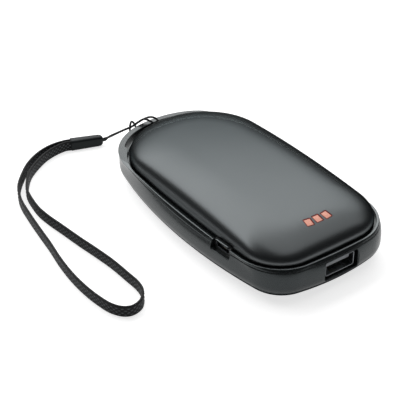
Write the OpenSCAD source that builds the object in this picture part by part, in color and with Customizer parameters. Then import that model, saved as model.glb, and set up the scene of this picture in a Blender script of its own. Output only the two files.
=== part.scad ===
// Rechargeable hand warmer with a wrist strap.
// The origin is the middle of the underside. The charging output faces -Y, the strap bar +Y.

/* [Body] */
// Overall width of the casing
body_w = 64; // [60:1:70]
// Overall length of the casing
body_l = 116; // [110:1:126]
// Height of the crown of the top cover
body_h = 23.6; // [22.6:0.2:27]
// Height of the casing's widest line
belly_z = 6.85; // [6.4:0.05:7.4]
// How far the sides bow out from end to end
side_bow = 8.4; // [6:0.2:10]
// How far forward of the middle the sides are widest
widest_forward = 7; // [3:1:9]
// How far the front end bows out
front_bow = 5.9; // [4:0.1:8]
// How far the strap end bows out
strap_end_bow = 17.5; // [14:0.5:20]
// Width of the front end between its corners, at the widest line
front_end_w = 34; // [28:1:38]
// Width of the strap end between its corners, at the widest line
strap_end_w = 20; // [16:1:26]
// How far the underside draws in to its flat
underside_draw = 8.2; // [7:0.2:10]

/* [Frame] */
// Height of the joint between frame and bottom cover
part_z = 4.6; // [4.2:0.1:4.7]
// Height of the frame's rim
rim_z = 14.2; // [14:0.1:15.4]
// How far the rim lies inside the widest line at the sides
rim_side_inset = 1.8; // [1.4:0.1:2.2]
// How far the rim lies inside the front end
rim_front_inset = 2; // [1.4:0.1:2.6]
// How far the rim lies inside the strap end
rim_back_inset = 1; // [0.6:0.1:1.6]
// How far the rim's sides bow out
rim_side_bow = 1.4; // [1:0.1:2]
// How far the rim's front end bows out
rim_front_bow = 1.5; // [1:0.1:2.2]
// How far the rim's strap end bows out
rim_back_bow = 15; // [13:0.5:17]
// Width of the rim's front end between its corners
rim_front_end_w = 24.4; // [22:0.2:30]
// Width of the rim's strap end between its corners
rim_strap_end_w = 12.4; // [8:0.2:18]
// Width of the rim's lip
lip_w = 1; // [0.8:0.1:1.4]
// Height of the lip above its groove
lip_h = 0.9; // [0.7:0.1:1.2]
// Height of the groove under the lip
groove_h = 0.4; // [0.3:0.05:0.6]
// Depth of the groove under the lip
groove_d = 0.3; // [0.2:0.05:0.4]
// Width of the ledge inside the top cover's edge
ledge_w = 1.9; // [1.6:0.1:2.1]
// Depth of the ledge below the rim
ledge_d = 1.4; // [1.2:0.1:1.6]

/* [Strap bar] */
// Width of the bar that the strap's cord goes round
bar_w = 2.9; // [2.4:0.1:3.6]
// Width of the slot inside the bar
slot_w = 3.1; // [2.6:0.1:3.6]
// Distance of the slot's ends inside the rim's sides
slot_side_room = 8.2; // [7.2:0.2:11]
// Radius of the slot's corners
slot_corner_r = 0.9; // [0.5:0.1:1.2]

/* [Covers] */
// Gap round the top cover's edge
cover_gap = 0.7; // [0.5:0.05:0.9]
// Wall of the two covers
cover_t = 1.5; // [1.2:0.1:1.8]
// Width of the top cover's strap end between its corners
cover_strap_end_w = 5.8; // [3:0.2:13]
// Width of the rounded shoulder of the top cover
shoulder_w = 10.3; // [8:0.1:12]
// How far the crown falls from the middle to the sides
crown_side_fall = 1.04; // [0.8:0.04:2]
// How far the crown falls from the middle to the ends
crown_end_fall = 3.6; // [2.6:0.1:4]
// Thickness of the adhesive under each cover's edge
adhesive_t = 0.15; // [0.1:0.05:0.2]
// Width of each adhesive ring
adhesive_w = 1.1; // [0.8:0.1:1.2]

/* [Charging output] */
// Place of the output socket across the casing
usb_a_x = 1; // [-2:0.5:2]
// Height of the output socket's middle
usb_a_z = 8.45; // [8.4:0.05:8.6]
// Width of the casing's opening for the output socket
usb_a_open_w = 15.3; // [14.6:0.1:16]
// Height of the casing's opening for the output socket
usb_a_open_h = 7.1; // [6.6:0.1:7.3]
// How far the output socket's mouth lies behind the front
usb_a_recess = 1.4; // [1:0.1:2]
// Inside width of the output socket
usb_a_w = 12.5; // [12.4:0.05:12.6]
// Inside height of the output socket
usb_a_h = 5.12; // [5:0.02:5.2]
// Length of the output socket
usb_a_l = 14; // [13:0.5:15]
// Width of the output socket's tongue
usb_a_tongue_w = 11.1; // [10.9:0.1:11.2]
// Thickness of the output socket's tongue
usb_a_tongue_t = 1.84; // [1.7:0.02:1.9]
// Gap above the output socket's tongue
usb_a_tongue_drop = 0.7; // [0.6:0.05:0.9]
// Length of the output socket's tongue
usb_a_tongue_l = 8.7; // [8.2:0.1:9.2]

/* [Charging input] */
// Distance of the input socket from the front end
micro_from_front = 29.3; // [27:0.1:31]
// Height of the input socket's middle
micro_z = 12; // [11.9:0.05:12.1]
// Width of the casing's opening for the input socket
micro_open_w = 9.8; // [9.2:0.1:10.4]
// Height of the casing's opening for the input socket
micro_open_h = 4.1; // [3.8:0.1:4.2]
// Inside width of the input socket
micro_w = 6.9; // [6.85:0.05:7]
// Inside height of the input socket
micro_h = 1.85; // [1.8:0.05:1.9]
// Length of the input socket
micro_l = 5.3; // [5:0.1:5.6]
// How far the rim rises over the input socket
hump_h = 1; // [0.8:0.1:1.2]
// Length of the raised rim, at its top
hump_l = 6.1; // [5:0.1:7]
// Length of each ramp of the raised rim
hump_ramp_l = 1.4; // [1:0.1:2]

/* [Power button] */
// Distance of the button from the front end
button_from_front = 34; // [33:0.5:35]
// Length of the button
button_l = 9.6; // [8.6:0.1:10]
// Height of the button
button_h = 3.4; // [3:0.1:3.6]
// How far the button stands out of the side
button_proud = 0.5; // [0.3:0.05:0.6]
// Travel of the button and of its switch
button_travel = 0.5; // [0.3:0.05:0.6]
// Clearance round the button in the casing
button_gap = 0.15; // [0.1:0.05:0.2]

/* [Indicator lights] */
// Place of the middle light across the casing
light_x = 0.5; // [-2:0.5:2]
// Distance between lights
light_pitch = 4; // [3.6:0.1:4.4]
// Distance of the lights behind the front end
light_from_front = 14; // [13.6:0.1:15]
// Length of each light window
light_l = 3.4; // [2.8:0.1:3.6]
// Width of each light window
light_w = 2.5; // [2:0.1:2.6]
// Turn between one light window and the next
light_fan = 8; // [0:1:10]

/* [Circuit board] */
// Thickness of the circuit board
pcb_t = 1; // [0.8:0.1:1.2]
// Gap between the board and the inside of the frame
pcb_gap = 0.4; // [0.3:0.1:0.6]
// Distance of the board's back edge from the front end
pcb_back_from_front = 42.5; // [42:0.5:44]
// Diameter of the bosses that carry the board
boss_d = 4.4; // [4:0.1:4.8]
// Diameter of the screws that hold the board
screw_d = 1.6; // [1.4:0.1:1.8]
// Length of the screws under their heads
screw_l = 4; // [3.5:0.1:4.4]

/* [Battery and heaters] */
// Room between the cells and the frame at each side
cell_side_room = 5.6; // [5:0.1:7]
// Room between the cells and the top cover's back edge
cell_back_room = 13; // [12:0.5:15]
// Gap between the board and the cells
cell_front_gap = 1.8; // [1.7:0.1:2.2]
// Thickness of the foam under the cells
foam_t = 1; // [0.8:0.1:1.4]
// Thickness of the heater films
film_t = 0.3; // [0.2:0.05:0.4]
// Least thickness of the foam over the cells
upper_foam_t = 1.2; // [0.8:0.1:2]
// Room between the heater films and the top cover's edge at each side
film_side_room = 11.5; // [10.5:0.5:14]
// Room between the heater films and the top cover's edge at each end
film_end_room = 18.6; // [17:0.2:22]

/* [Strap] */
// Height of the woven strap's band, which stands on its edge
strap_w = 4.5; // [4:0.1:4.8]
// Thickness of the woven strap's band
strap_t = 1.2; // [1:0.05:1.2]
// Diameter of the thin cord
cord_d = 0.8; // [0.7:0.05:0.85]
// Length of the bead
bead_l = 13.8; // [13.8:0.1:15]
// Width of the bead
bead_w = 3.9; // [3.6:0.1:4.4]
// Height of the bead
bead_h = 4.7; // [4.6:0.1:5.2]

/* [Hidden] */

// Overrun of cuts past the faces that they open
over = 1;
// Gap between parts that are glued or laid face to face
seat_gap = 0.05;
// Gap between loosely stacked parts
stack_gap = 0.1;
// Edge rounding of the lip
lip_round = 0.2;

// Segments of each quarter of an outline: side, corner and end
side_steps = 3;
corner_steps = 6;
end_steps = 3;
// Segments of each corner of a rounded rectangle
rect_steps = 4;
$fn = 32;

// Radius of an arc that bows out by a given rise over a half length
function bow_r(half, rise) = (half * half + rise * rise) / (2 * rise);

// An outline is half width, side radius, widest y, front y, front radius, front corner radius,
// back y, back radius and back corner radius
belly = [
    body_w / 2, bow_r(body_l / 2, side_bow), -widest_forward,
    body_l / 2, bow_r(body_w / 2, front_bow), (body_w - front_end_w) / 2,
    body_l / 2, bow_r(body_w / 2, strap_end_bow), (body_w - strap_end_w) / 2
];
rim_half_w = body_w / 2 - rim_side_inset;
rim_back_y = body_l / 2 - rim_back_inset;
rim_front_corner_r = rim_half_w - rim_front_end_w / 2;
rim = [
    rim_half_w, bow_r(body_l / 2, rim_side_bow), -widest_forward,
    body_l / 2 - rim_front_inset, bow_r(rim_half_w, rim_front_bow), rim_front_corner_r,
    rim_back_y, bow_r(rim_half_w, rim_back_bow), rim_half_w - rim_strap_end_w / 2
];
cover_inset = lip_w + cover_gap;
cover_half_w = rim_half_w - cover_inset;
cover_back_y = rim_back_y - bar_w - slot_w;
cover_front_y = rim[3] - cover_inset;
cover = [
    cover_half_w, rim[1], -widest_forward,
    cover_front_y, rim[4], rim_front_corner_r - lip_w - cover_gap,
    cover_back_y, bow_r(cover_half_w, rim_back_bow), cover_half_w - cover_strap_end_w / 2
];
base = [
    belly[0], belly[1], belly[2], belly[3], belly[4], belly[5],
    cover_back_y, belly[7], belly[8]
];

cover_mid_y = (cover_back_y - cover_front_y) / 2;
cover_half_l = (cover_back_y + cover_front_y) / 2;
ledge_z = rim_z - ledge_d;
shoulder_z = rim_z - lip_h / 2;
front_y = -body_l / 2;
slot_half_l = rim_half_w - slot_side_room;

// Angle at which the shoulder runs into the crown
shoulder_end = 85;
shoulder_steps = 6;
underside_steps = 5;
crown_shares = [0.8, 0.6, 0.4, 0.2];

// Points of an arc, both ends included
function arc(mid, r, from, to, steps) = [
    for (i = [0:steps])
        let (a = from + (to - from) * i / steps)
        mid + r * [cos(a), sin(a)]
];

// All points but the first
function tail(list) = [for (i = [1:len(list) - 1]) list[i]];

// A quarter of an outline: side arc, corner arc and end arc, each tangent to the next
function quarter(half_w, side_r, wide_y, end_y, end_r, corner_r, inset) =
    let (
        side_mid = [half_w - side_r, wide_y],
        end_mid = [0, end_y - end_r],
        ra = side_r - corner_r,
        rb = end_r - corner_r,
        apart = norm(end_mid - side_mid),
        along = (end_mid - side_mid) / apart,
        reach = (apart * apart + ra * ra - rb * rb) / (2 * apart),
        off = sqrt(ra * ra - reach * reach),
        corner_mid = side_mid + along * reach + [-along[1], along[0]] * off,
        to_side = corner_mid - side_mid,
        to_end = corner_mid - end_mid,
        side_a = atan2(to_side[1], to_side[0]),
        end_a = atan2(to_end[1], to_end[0])
    )
    concat(
        arc(side_mid, side_r - inset, 0, side_a, side_steps),
        tail(arc(corner_mid, corner_r - inset, side_a, end_a, corner_steps)),
        tail(arc(end_mid, end_r - inset, end_a, 90, end_steps))
    );

// A whole outline, drawn in by an inset
function outline(o, inset) =
    let (
        back = quarter(o[0], o[1], o[2], o[6], o[7], o[8], inset),
        front = quarter(o[0], o[1], -o[2], o[3], o[4], o[5], inset),
        last = len(back) - 1
    )
    concat(
        [for (i = [0:last - 1]) back[i]],
        [for (i = [last:-1:1]) [-back[i][0], back[i][1]]],
        [for (i = [0:last - 1]) [-front[i][0], -front[i][1]]],
        [for (i = [last:-1:1]) [front[i][0], -front[i][1]]]
    );

function at_z(points, z) = [for (p = points) [p[0], p[1], z]];

function mix(a, b, share) = a * (1 - share) + b * share;

// The frame's outer wall at a height between its widest line and its rim
function wall_ring(z, inset) =
    let (share = (z - belly_z) / (rim_z - belly_z))
    at_z(mix(outline(belly, inset), outline(rim, inset), share), z);

// How far the rounded underside has drawn in at a height, below a given skin
function draw_angle(z, skin) = asin((belly_z - z) / (belly_z - skin));
function draw_inset(angle) = underside_draw * (1 - cos(angle));
part_inset = draw_inset(draw_angle(part_z, 0));

// Height of the top cover's crown
function crown_z(x, y) =
    body_h - crown_side_fall * pow(x / cover_half_w, 2)
    - crown_end_fall * pow((y - cover_mid_y) / cover_half_l, 2);

// A ring of the top cover's shoulder, for its outer skin or one lower and further in
function shoulder_ring(angle, skin) =
    let (inset = skin + (shoulder_w - skin) * (1 - cos(angle)))
    [
        for (p = outline(cover, 0))
            let (
                x = p[0] * (1 - inset / cover_half_w),
                y = cover_mid_y + (p[1] - cover_mid_y) * (1 - inset / cover_half_l),
                rise = (crown_z(x, y) - skin - shoulder_z) * sin(angle) / sin(shoulder_end)
            )
            [x, y, shoulder_z + rise]
    ];

// A ring of the crown inside the shoulder
function crown_ring(share, skin) = [
    for (p = shoulder_ring(shoulder_end, 0))
        let (
            x = p[0] * share,
            y = cover_mid_y + (p[1] - cover_mid_y) * share
        )
        [x, y, crown_z(x, y) - skin]
];

// Flat points of a rounded rectangle about its middle
function round_rect(w, l, r) = concat(
    arc([w / 2 - r, l / 2 - r], r, 0, 90, rect_steps),
    arc([r - w / 2, l / 2 - r], r, 90, 180, rect_steps),
    arc([r - w / 2, r - l / 2], r, 180, 270, rect_steps),
    arc([w / 2 - r, r - l / 2], r, 270, 360, rect_steps)
);

// An outline with its long sides cut into steps
function stepped(points, step) = [
    for (i = [0:len(points) - 1])
        let (
            from = points[i],
            to = points[(i + 1) % len(points)],
            pieces = max(1, ceil(norm(to - from) / step))
        )
        for (k = [0:pieces - 1]) from + (to - from) * k / pieces
];

// Side faces between neighbouring rings of the same number of points
function ring_faces(rings, count, first) = [
    for (i = [0:rings - 1], j = [0:count - 1], half = [0:1])
        let (
            a = first + i * count + j,
            b = first + i * count + (j + 1) % count,
            c = a + count,
            d = b + count
        )
        half == 0 ? [a, c, d] : [a, d, b]
];

// A closed solid through rings, with a middle point at each end
module loft(rings, first_mid, last_mid) {
    count = len(rings[0]);
    points = concat([first_mid], [for (r = rings) each r], [last_mid]);
    last = len(points) - 1;
    faces = concat(
        [for (j = [0:count - 1]) [0, 1 + j, 1 + (j + 1) % count]],
        ring_faces(len(rings) - 1, count, 1),
        [for (j = [0:count - 1]) [last, last - count + (j + 1) % count, last - count + j]]
    );
    polyhedron(points = points, faces = faces, convexity = 6);
}

// A closed band through rings whose last joins the first
module band(rings) {
    count = len(rings[0]);
    total = len(rings) * count;
    points = [for (r = rings) each r];
    faces = [for (f = ring_faces(len(rings), count, 0)) [for (k = f) k % total]];
    polyhedron(points = points, faces = faces, convexity = 6);
}

// A flat ring between two insets of one outline
module flat_ring(o, outer_inset, inner_inset, z, t) {
    band([
        at_z(outline(o, outer_inset), z),
        at_z(outline(o, outer_inset), z + t),
        at_z(outline(o, inner_inset), z + t),
        at_z(outline(o, inner_inset), z)
    ]);
}

// A pad whose top follows the crown, flat below
module crown_pad(w, l, mid_y, top_skin, bottom_z, corner_r) {
    foot = [for (p = stepped(round_rect(w, l, corner_r), pad_step)) p + [0, mid_y]];
    function lid(share) = [
        for (p = foot)
            let (q = [p[0] * share, mid_y + (p[1] - mid_y) * share])
            [q[0], q[1], crown_z(q[0], q[1]) - top_skin]
    ];
    loft(
        [at_z(foot, bottom_z), for (share = pad_shares) lid(share)],
        [0, mid_y, bottom_z],
        [0, mid_y, crown_z(0, mid_y) - top_skin]
    );
}
pad_shares = [1, 0.75, 0.5, 0.25];
pad_step = 7;

// A film that follows the crown at a skin's depth
module crown_film(w, l, mid_y, skin, t, corner_r) {
    foot = [for (p = stepped(round_rect(w, l, corner_r), pad_step)) p + [0, mid_y]];
    function sheet(share, depth) = [
        for (p = foot)
            let (q = [p[0] * share, mid_y + (p[1] - mid_y) * share])
            [q[0], q[1], crown_z(q[0], q[1]) - depth]
    ];
    count = len(pad_shares);
    loft(
        concat(
            [for (i = [count - 1:-1:0]) sheet(pad_shares[i], skin + t)],
            [for (i = [0:count - 1]) sheet(pad_shares[i], skin)]
        ),
        [0, mid_y, crown_z(0, mid_y) - skin - t],
        [0, mid_y, crown_z(0, mid_y) - skin]
    );
}

function unit(v) = v / norm(v);

// Direction of a route at each of its points
function headings(route) = [
    for (i = [0:len(route) - 1])
        unit(route[min(i + 1, len(route) - 1)] - route[max(i - 1, 0)])
];

// A side direction that is carried along a route without twist
function carried_sides(heads) =
    let (start = abs(heads[0][2]) > 0.9 ? [1, 0, 0] : [0, 0, 1])
    [
        for (
            i = 0, s = unit(cross(heads[0], start));
            i < len(heads);
            i = i + 1, s = unit(s - (s * heads[min(i, len(heads) - 1)]) * heads[min(i, len(heads) - 1)])
        )
            s
    ];

// A round cord along a route
module round_cord(route, d, sides) {
    heads = headings(route);
    across = carried_sides(heads);
    rings = [
        for (i = [0:len(route) - 1])
            let (up = cross(heads[i], across[i]))
            [
                for (k = [0:sides - 1])
                    let (a = 360 * k / sides)
                    route[i] + d / 2 * (across[i] * cos(a) + up * sin(a))
            ]
    ];
    loft(rings, route[0], route[len(route) - 1]);
}

// A flat band that stands on its edge along a level route
module flat_cord(route, w, t, chamfer) {
    heads = headings([for (p = route) [p[0], p[1], 0]]);
    section = [
        [t / 2, w / 2 - chamfer], [t / 2, chamfer - w / 2],
        [t / 2 - chamfer, -w / 2], [chamfer - t / 2, -w / 2],
        [-t / 2, chamfer - w / 2], [-t / 2, w / 2 - chamfer],
        [chamfer - t / 2, w / 2], [t / 2 - chamfer, w / 2]
    ];
    rings = [
        for (i = [0:len(route) - 1])
            let (across = cross(heads[i], [0, 0, 1]))
            [for (s = section) [route[i][0], route[i][1], w / 2] + across * s[0] + [0, 0, s[1]]]
    ];
    loft(
        rings,
        [route[0][0], route[0][1], w / 2],
        [route[len(route) - 1][0], route[len(route) - 1][1], w / 2]
    );
}

// Places worked out from the sizes above

// Output socket
usb_a_wall = 0.32;
usb_a_corner_r = 0.5;
usb_a_open_r = 1.4;
usb_a_mouth_y = front_y + usb_a_recess;
usb_a_housing_l = usb_a_l - usb_a_tongue_l - usb_a_recess - over;
contact_t = 0.2;

// Circuit board, which carries the input socket on its upper face
micro_wall = 0.25;
micro_shell_h = micro_h + 2 * micro_wall;
micro_y = front_y + micro_from_front;
micro_open_r = 1;
micro_recess = 1.6;
micro_mouth_x = micro_recess - body_w / 2 + micro_recess / 2;
pcb_top = micro_z - micro_shell_h / 2 - seat_gap;
pcb_z = pcb_top - pcb_t;
pcb_back_y = front_y + pcb_back_from_front;
pcb_tab_x = micro_mouth_x + micro_wall;
frame_in = ledge_w;
cavity_half_w = cover_half_w - frame_in;

// Bosses under the board and their ribs to the wall
boss_x = cavity_half_w - boss_d - pcb_gap;
boss_front_y = front_y + rim_front_corner_r - boss_d / 2;
boss_back_y = pcb_back_y - boss_d / 2 - pcb_gap;
boss_ys = [boss_front_y, boss_back_y];
boss_rib_t = boss_d / 2;
boss_z = part_z + pcb_gap;
screw_head_d = 1.9 * screw_d;
screw_head_h = 0.6 * screw_d;
screw_pilot_d = screw_d - 2 * seat_gap;

// Power button and its switch, which hangs under the board
switch_w = 6;
switch_l = 4.2;
switch_h = 3.4;
button_y = front_y + button_from_front;
button_z = pcb_z - seat_gap - switch_h / 2;
button_flange = 0.8;
button_wall = 1.6;
plunger_w = 2.6;
plunger_h = 1.6;
plunger_out = 1.3;
plunger_in = 1.6;
running_gap = 0.08;

// Half width of the widest line at a given y
function belly_x(y) =
    body_w / 2 - belly[1] + sqrt(pow(belly[1], 2) - pow(y + widest_forward, 2));
button_face_x = belly_x(button_y) + button_proud;
button_flange_x = belly_x(button_y) - button_wall - button_gap;
switch_face_x = cavity_half_w - pcb_gap - plunger_out - button_travel;
plunger_tip_x = switch_face_x + plunger_out;

// Cells, foam and heaters
floor_z = cover_t;
lower_film_z = floor_z + stack_gap;
lower_foam_z = lower_film_z + film_t + seat_gap;
cell_z = lower_foam_z + foam_t + seat_gap;
film_w = 2 * (cover_half_w - film_side_room);
film_l = 2 * (cover_half_l - film_end_room);
cell_w = 2 * (cavity_half_w - cell_side_room);
cell_front_y = pcb_back_y + cell_front_gap;
cell_back_y = cover_back_y - cell_back_room;
cell_l = cell_back_y - cell_front_y;
cell_mid_y = (cell_front_y + cell_back_y) / 2;
film_skin = cover_t + stack_gap;
upper_foam_skin = film_skin + film_t + 2 * stack_gap;
// How far the shoulder has fallen below the crown's curve over the pad's corners
corner_sink = 1.2;
foam_w = film_w - 2 * foam_t;
foam_back_y = cell_back_y - foam_t;
cells_top = crown_z(foam_w / 2, foam_back_y) - upper_foam_skin - upper_foam_t - seat_gap - corner_sink;
cell_t = (cells_top - cell_z - stack_gap) / 2;
upper_cell_z = cell_z + cell_t + stack_gap;
cell_corner_r = 2;
film_mid_y = cover_mid_y;
film_corner_r = 4;

// Indicator lights
light_y = front_y + light_from_front;
light_corner_r = 0.35;
light_gap = 0.08;
led_h = 0.8;
led_w = 1.6;
light_web_t = 1.2;
light_web_l = 4.2;

// Route of the thin cord, from the bead over, down, under and up round the bar, through its own
// bight and back: A and B strands lie side by side
cord_route = [
    [-15.8, 72.4, 2.4], [-14.8, 72.2, 2.5], [-14, 70, 3.9], [-12.4, 66.4, 6.8],
    [-10.6, 62.8, 9.7], [-9, 59.5, 12.3], [-7.1, 57.9, 14.3], [-4.8, 56.8, 15.7],
    [-2.6, 55.6, 16.3], [-0.9, 54.6, 15.6], [-0.3, 53.3, 14.5], [-0.3, 52.6, 12.8],
    [-0.4, 52.5, 8], [-0.9, 52.8, 4.8], [-2.3, 54.3, 3.8], [-4.4, 56.5, 3.8],
    [-6.4, 58.1, 4.7], [-7.4, 58.4, 7], [-7.6, 58.8, 10.8], [-7.9, 59.9, 13],
    [-9.2, 59.8, 14.4], [-10.4, 59, 13.6], [-10.9, 58.5, 11.6], [-10.6, 58, 7],
    [-9.6, 57.5, 4.3], [-8, 56.2, 3.7], [-5, 54.1, 3.8], [-3.2, 52.9, 4.8],
    [-2.6, 52.5, 8], [-2.5, 52.5, 12.8], [-2.6, 52.9, 14.2], [-3.6, 54, 15.3],
    [-5.4, 56, 16.1], [-7.6, 57.2, 14.9], [-9.6, 58.8, 12.8], [-11.2, 61.9, 10.4],
    [-13.1, 65.6, 7.5], [-14.7, 69.2, 4.6], [-15.3, 71.2, 2.3], [-16.1, 71.5, 2.2]
];
// Route of the woven band, from the bead round its loop and back
strap_route = [
    [-28.8, 77.2], [-31, 77.9], [-37, 78.2], [-43.5, 76.5], [-51, 72], [-57, 66.2],
    [-62.3, 59.6], [-65, 54.2], [-66.8, 48.8], [-68, 42.5], [-69.1, 35.9], [-70.3, 27.6],
    [-71.5, 19], [-73.3, 8.4], [-74.3, -2], [-74.3, -10.5], [-73.6, -17.7], [-72.3, -23.5],
    [-70, -27.2], [-67.2, -28.6], [-63.4, -27.8], [-60.9, -25.6], [-59.1, -22.5], [-58.3, -18.4],
    [-58.4, -12.8], [-58.8, -2.6], [-60.1, 8.2], [-61.1, 15], [-62.4, 26], [-63.4, 34],
    [-63.7, 41], [-62.9, 47.6], [-61.3, 54.5], [-58, 60.6], [-53.8, 66], [-48.5, 70.3],
    [-42, 74.2], [-36, 76.1], [-31.2, 76.5], [-29.3, 75.8]
];
// The bead's two end faces, where the band and the cord go in
bead_band_end = [-29, 76.5];
bead_turn = -19;
bead_edge_r = 1;
bead_chamfer = 0.4;
strap_chamfer = 0.3;

module top_cover() {
    color("#4a4e50")
    difference() {
        loft(
            concat(
                [for (i = [len(crown_shares) - 1:-1:0]) crown_ring(crown_shares[i], cover_t)],
                [
                    for (i = [shoulder_steps:-1:0])
                        shoulder_ring(shoulder_end * i / shoulder_steps, cover_t)
                ],
                [at_z(shoulder_ring(0, cover_t), ledge_z + adhesive_t)],
                [at_z(outline(cover, 0), ledge_z + adhesive_t)],
                [
                    for (i = [0:shoulder_steps])
                        shoulder_ring(shoulder_end * i / shoulder_steps, 0)
                ],
                [for (share = crown_shares) crown_ring(share, 0)]
            ),
            [0, cover_mid_y, crown_z(0, cover_mid_y) - cover_t],
            [0, cover_mid_y, crown_z(0, cover_mid_y)]
        );
        light_windows(light_l + 2 * light_gap, light_w + 2 * light_gap, light_corner_r + light_gap);
        micro_notch();
    }
}

// The three light windows, as prisms that pass through the cover
module light_windows(l, w, r) {
    for (i = [-1:1])
        translate([light_x + i * light_pitch, light_y, rim_z])
        rotate([0, 0, i * light_fan])
        linear_extrude(body_h)
        polygon(round_rect(w, l, r));
}

// Room for the input socket in the edge of the cover
module micro_notch() {
    notch_w = micro_w + 2 * micro_wall + 2 * pcb_gap;
    notch_top = micro_z + micro_shell_h / 2 + pcb_gap;
    translate([-body_w / 2, micro_y - notch_w / 2, part_z])
    cube([cavity_half_w - cell_w / 2 + ledge_w, notch_w, notch_top - part_z]);
}

module mid_frame() {
    color("#33363a")
    difference() {
        union() {
            difference() {
                band([
                    at_z(outline(belly, part_inset), part_z),
                    at_z(outline(belly, 0), belly_z),
                    wall_ring(rim_z - lip_h - groove_h, 0),
                    wall_ring(rim_z - lip_h - groove_h, groove_d),
                    wall_ring(rim_z - lip_h, groove_d),
                    wall_ring(rim_z - lip_h, 0),
                    wall_ring(rim_z - lip_round, 0),
                    wall_ring(rim_z, lip_round),
                    at_z(outline(cover, -cover_gap - lip_round), rim_z),
                    at_z(outline(cover, -cover_gap), rim_z - lip_round),
                    at_z(outline(cover, -cover_gap), ledge_z),
                    at_z(outline(cover, frame_in), ledge_z),
                    at_z(outline(cover, frame_in), part_z)
                ]);
                button_pocket();
                micro_pocket();
            }
            rim_hump();
            board_bosses();
        }
        strap_slot();
        usb_a_opening();
        micro_opening();
        button_opening();
        boss_pilots();
    }
}

// The slot between the cover's edge and the bar
module strap_slot() {
    translate([0, 0, part_z - over])
    linear_extrude(rim_z - part_z + 2 * over)
    offset(r = slot_corner_r)
    offset(delta = -slot_corner_r)
    intersection() {
        difference() {
            polygon(outline(rim, bar_w));
            polygon(outline(cover, 0));
        }
        translate([-slot_half_l, 0])
        square([2 * slot_half_l, body_l]);
    }
}

module usb_a_opening() {
    translate([usb_a_x, cover_mid_y, usb_a_z])
    rotate([90, 0, 0])
    linear_extrude(body_l)
    polygon(round_rect(usb_a_open_w, usb_a_open_h, usb_a_open_r));
}

module micro_opening() {
    translate([-body_w, micro_y, micro_z])
    rotate([90, 0, 90])
    linear_extrude(body_w)
    polygon(round_rect(micro_open_w, micro_open_h, micro_open_r));
}

// Room inside the wall for the input socket and the board's tab
module micro_pocket() {
    pocket_w = micro_open_w + 2 * pcb_gap;
    translate([pcb_tab_x - pcb_gap, micro_y - pocket_w / 2, pcb_z - pcb_gap])
    cube([cavity_half_w, pocket_w, rim_z]);
}

module button_opening() {
    translate([0, button_y, button_z])
    rotate([90, 0, 90])
    linear_extrude(body_w)
    polygon(round_rect(button_l + 2 * button_gap, button_h + 2 * button_gap, button_h / 2));
}

// Room inside the wall for the button's flange and its travel
module button_pocket() {
    pocket_l = button_l + 2 * button_flange + 2 * button_gap;
    pocket_h = button_h + 2 * button_flange;
    translate([
        button_flange_x + button_gap - cavity_half_w,
        button_y - pocket_l / 2, button_z - pocket_h / 2
    ])
    cube([cavity_half_w, pocket_l, pocket_h]);
}

// The raised stretch of rim over the input socket
module rim_hump() {
    half = hump_l / 2;
    foot = -lip_h;
    hump_x = rim_half_w - bow_drop(micro_y, rim[1]);
    translate([-hump_x, micro_y, rim_z])
    rotate([90, 0, 90])
    linear_extrude(lip_w - lip_round / 2)
    polygon([
        [-half - hump_ramp_l, foot], [half + hump_ramp_l, foot],
        [half + hump_ramp_l, 0], [half, hump_h], [-half, hump_h], [-half - hump_ramp_l, 0]
    ]);
}

// How far a side arc has drawn in at a given y
function bow_drop(y, r) = r - sqrt(r * r - pow(y + widest_forward, 2));

module board_bosses() {
    for (side = [-1, 1], y = boss_ys) {
        translate([side * boss_x, y, boss_z])
        cylinder(d = boss_d, h = pcb_z - seat_gap - boss_z);
        translate([side * (boss_x + boss_d / 2), y, (boss_z + pcb_z - seat_gap) / 2])
        cube([boss_d + 2 * over, boss_rib_t, pcb_z - seat_gap - boss_z], center = true);
    }
}

module boss_pilots() {
    for (side = [-1, 1], y = boss_ys)
        translate([side * boss_x, y, boss_z + pcb_gap])
        cylinder(d = screw_pilot_d, h = pcb_z);
}

module bottom_cover() {
    top_z = part_z - adhesive_t;
    outer_end = draw_angle(top_z, 0);
    inner_end = draw_angle(top_z, cover_t);
    color("#45494b")
    loft(
        concat(
            [
                for (i = [0:underside_steps])
                    let (a = mix(90, outer_end, i / underside_steps))
                    at_z(outline(base, draw_inset(a)), belly_z * (1 - sin(a)))
            ],
            [
                for (i = [underside_steps:-1:0])
                    let (a = mix(90, inner_end, i / underside_steps))
                    at_z(
                        outline(base, cover_t + draw_inset(a)),
                        belly_z - (belly_z - cover_t) * sin(a)
                    )
            ]
        ),
        [0, 0, 0],
        [0, 0, cover_t]
    );
}

module top_adhesive() {
    color("#d8d4c8")
    difference() {
        flat_ring(
            cover, seat_gap, seat_gap + adhesive_w,
            ledge_z + adhesive_t / 8, adhesive_t * 6 / 8
        );
        micro_notch();
    }
}

module bottom_adhesive() {
    color("#d8d4c8")
    flat_ring(
        base, part_inset + stack_gap, part_inset + stack_gap + adhesive_w,
        part_z - adhesive_t * 7 / 8, adhesive_t * 6 / 8
    );
}

module light_pipe() {
    web_w = 2 * light_pitch + light_w + 2 * light_gap;
    web_top = crown_z(0, light_y - light_web_l / 2) - cover_t - stack_gap - corner_sink / 2;
    led_top = pcb_top + seat_gap + led_h + stack_gap;
    color("#f2b6a2")
    intersection() {
        union() {
            translate([0, 0, led_top - rim_z])
            light_windows(light_l, light_w, light_corner_r);
            translate([light_x, light_y, web_top - light_web_t / 2])
            cube([web_w, light_web_l, light_web_t], center = true);
        }
        translate([0, 0, -seat_gap])
        loft(
            concat(
                [at_z(outline(cover, 0), part_z)],
                [
                    for (i = [0:shoulder_steps])
                        shoulder_ring(shoulder_end * i / shoulder_steps, 0)
                ],
                [for (share = crown_shares) crown_ring(share, 0)]
            ),
            [0, cover_mid_y, part_z],
            [0, cover_mid_y, crown_z(0, cover_mid_y)]
        );
    }
}

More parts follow.
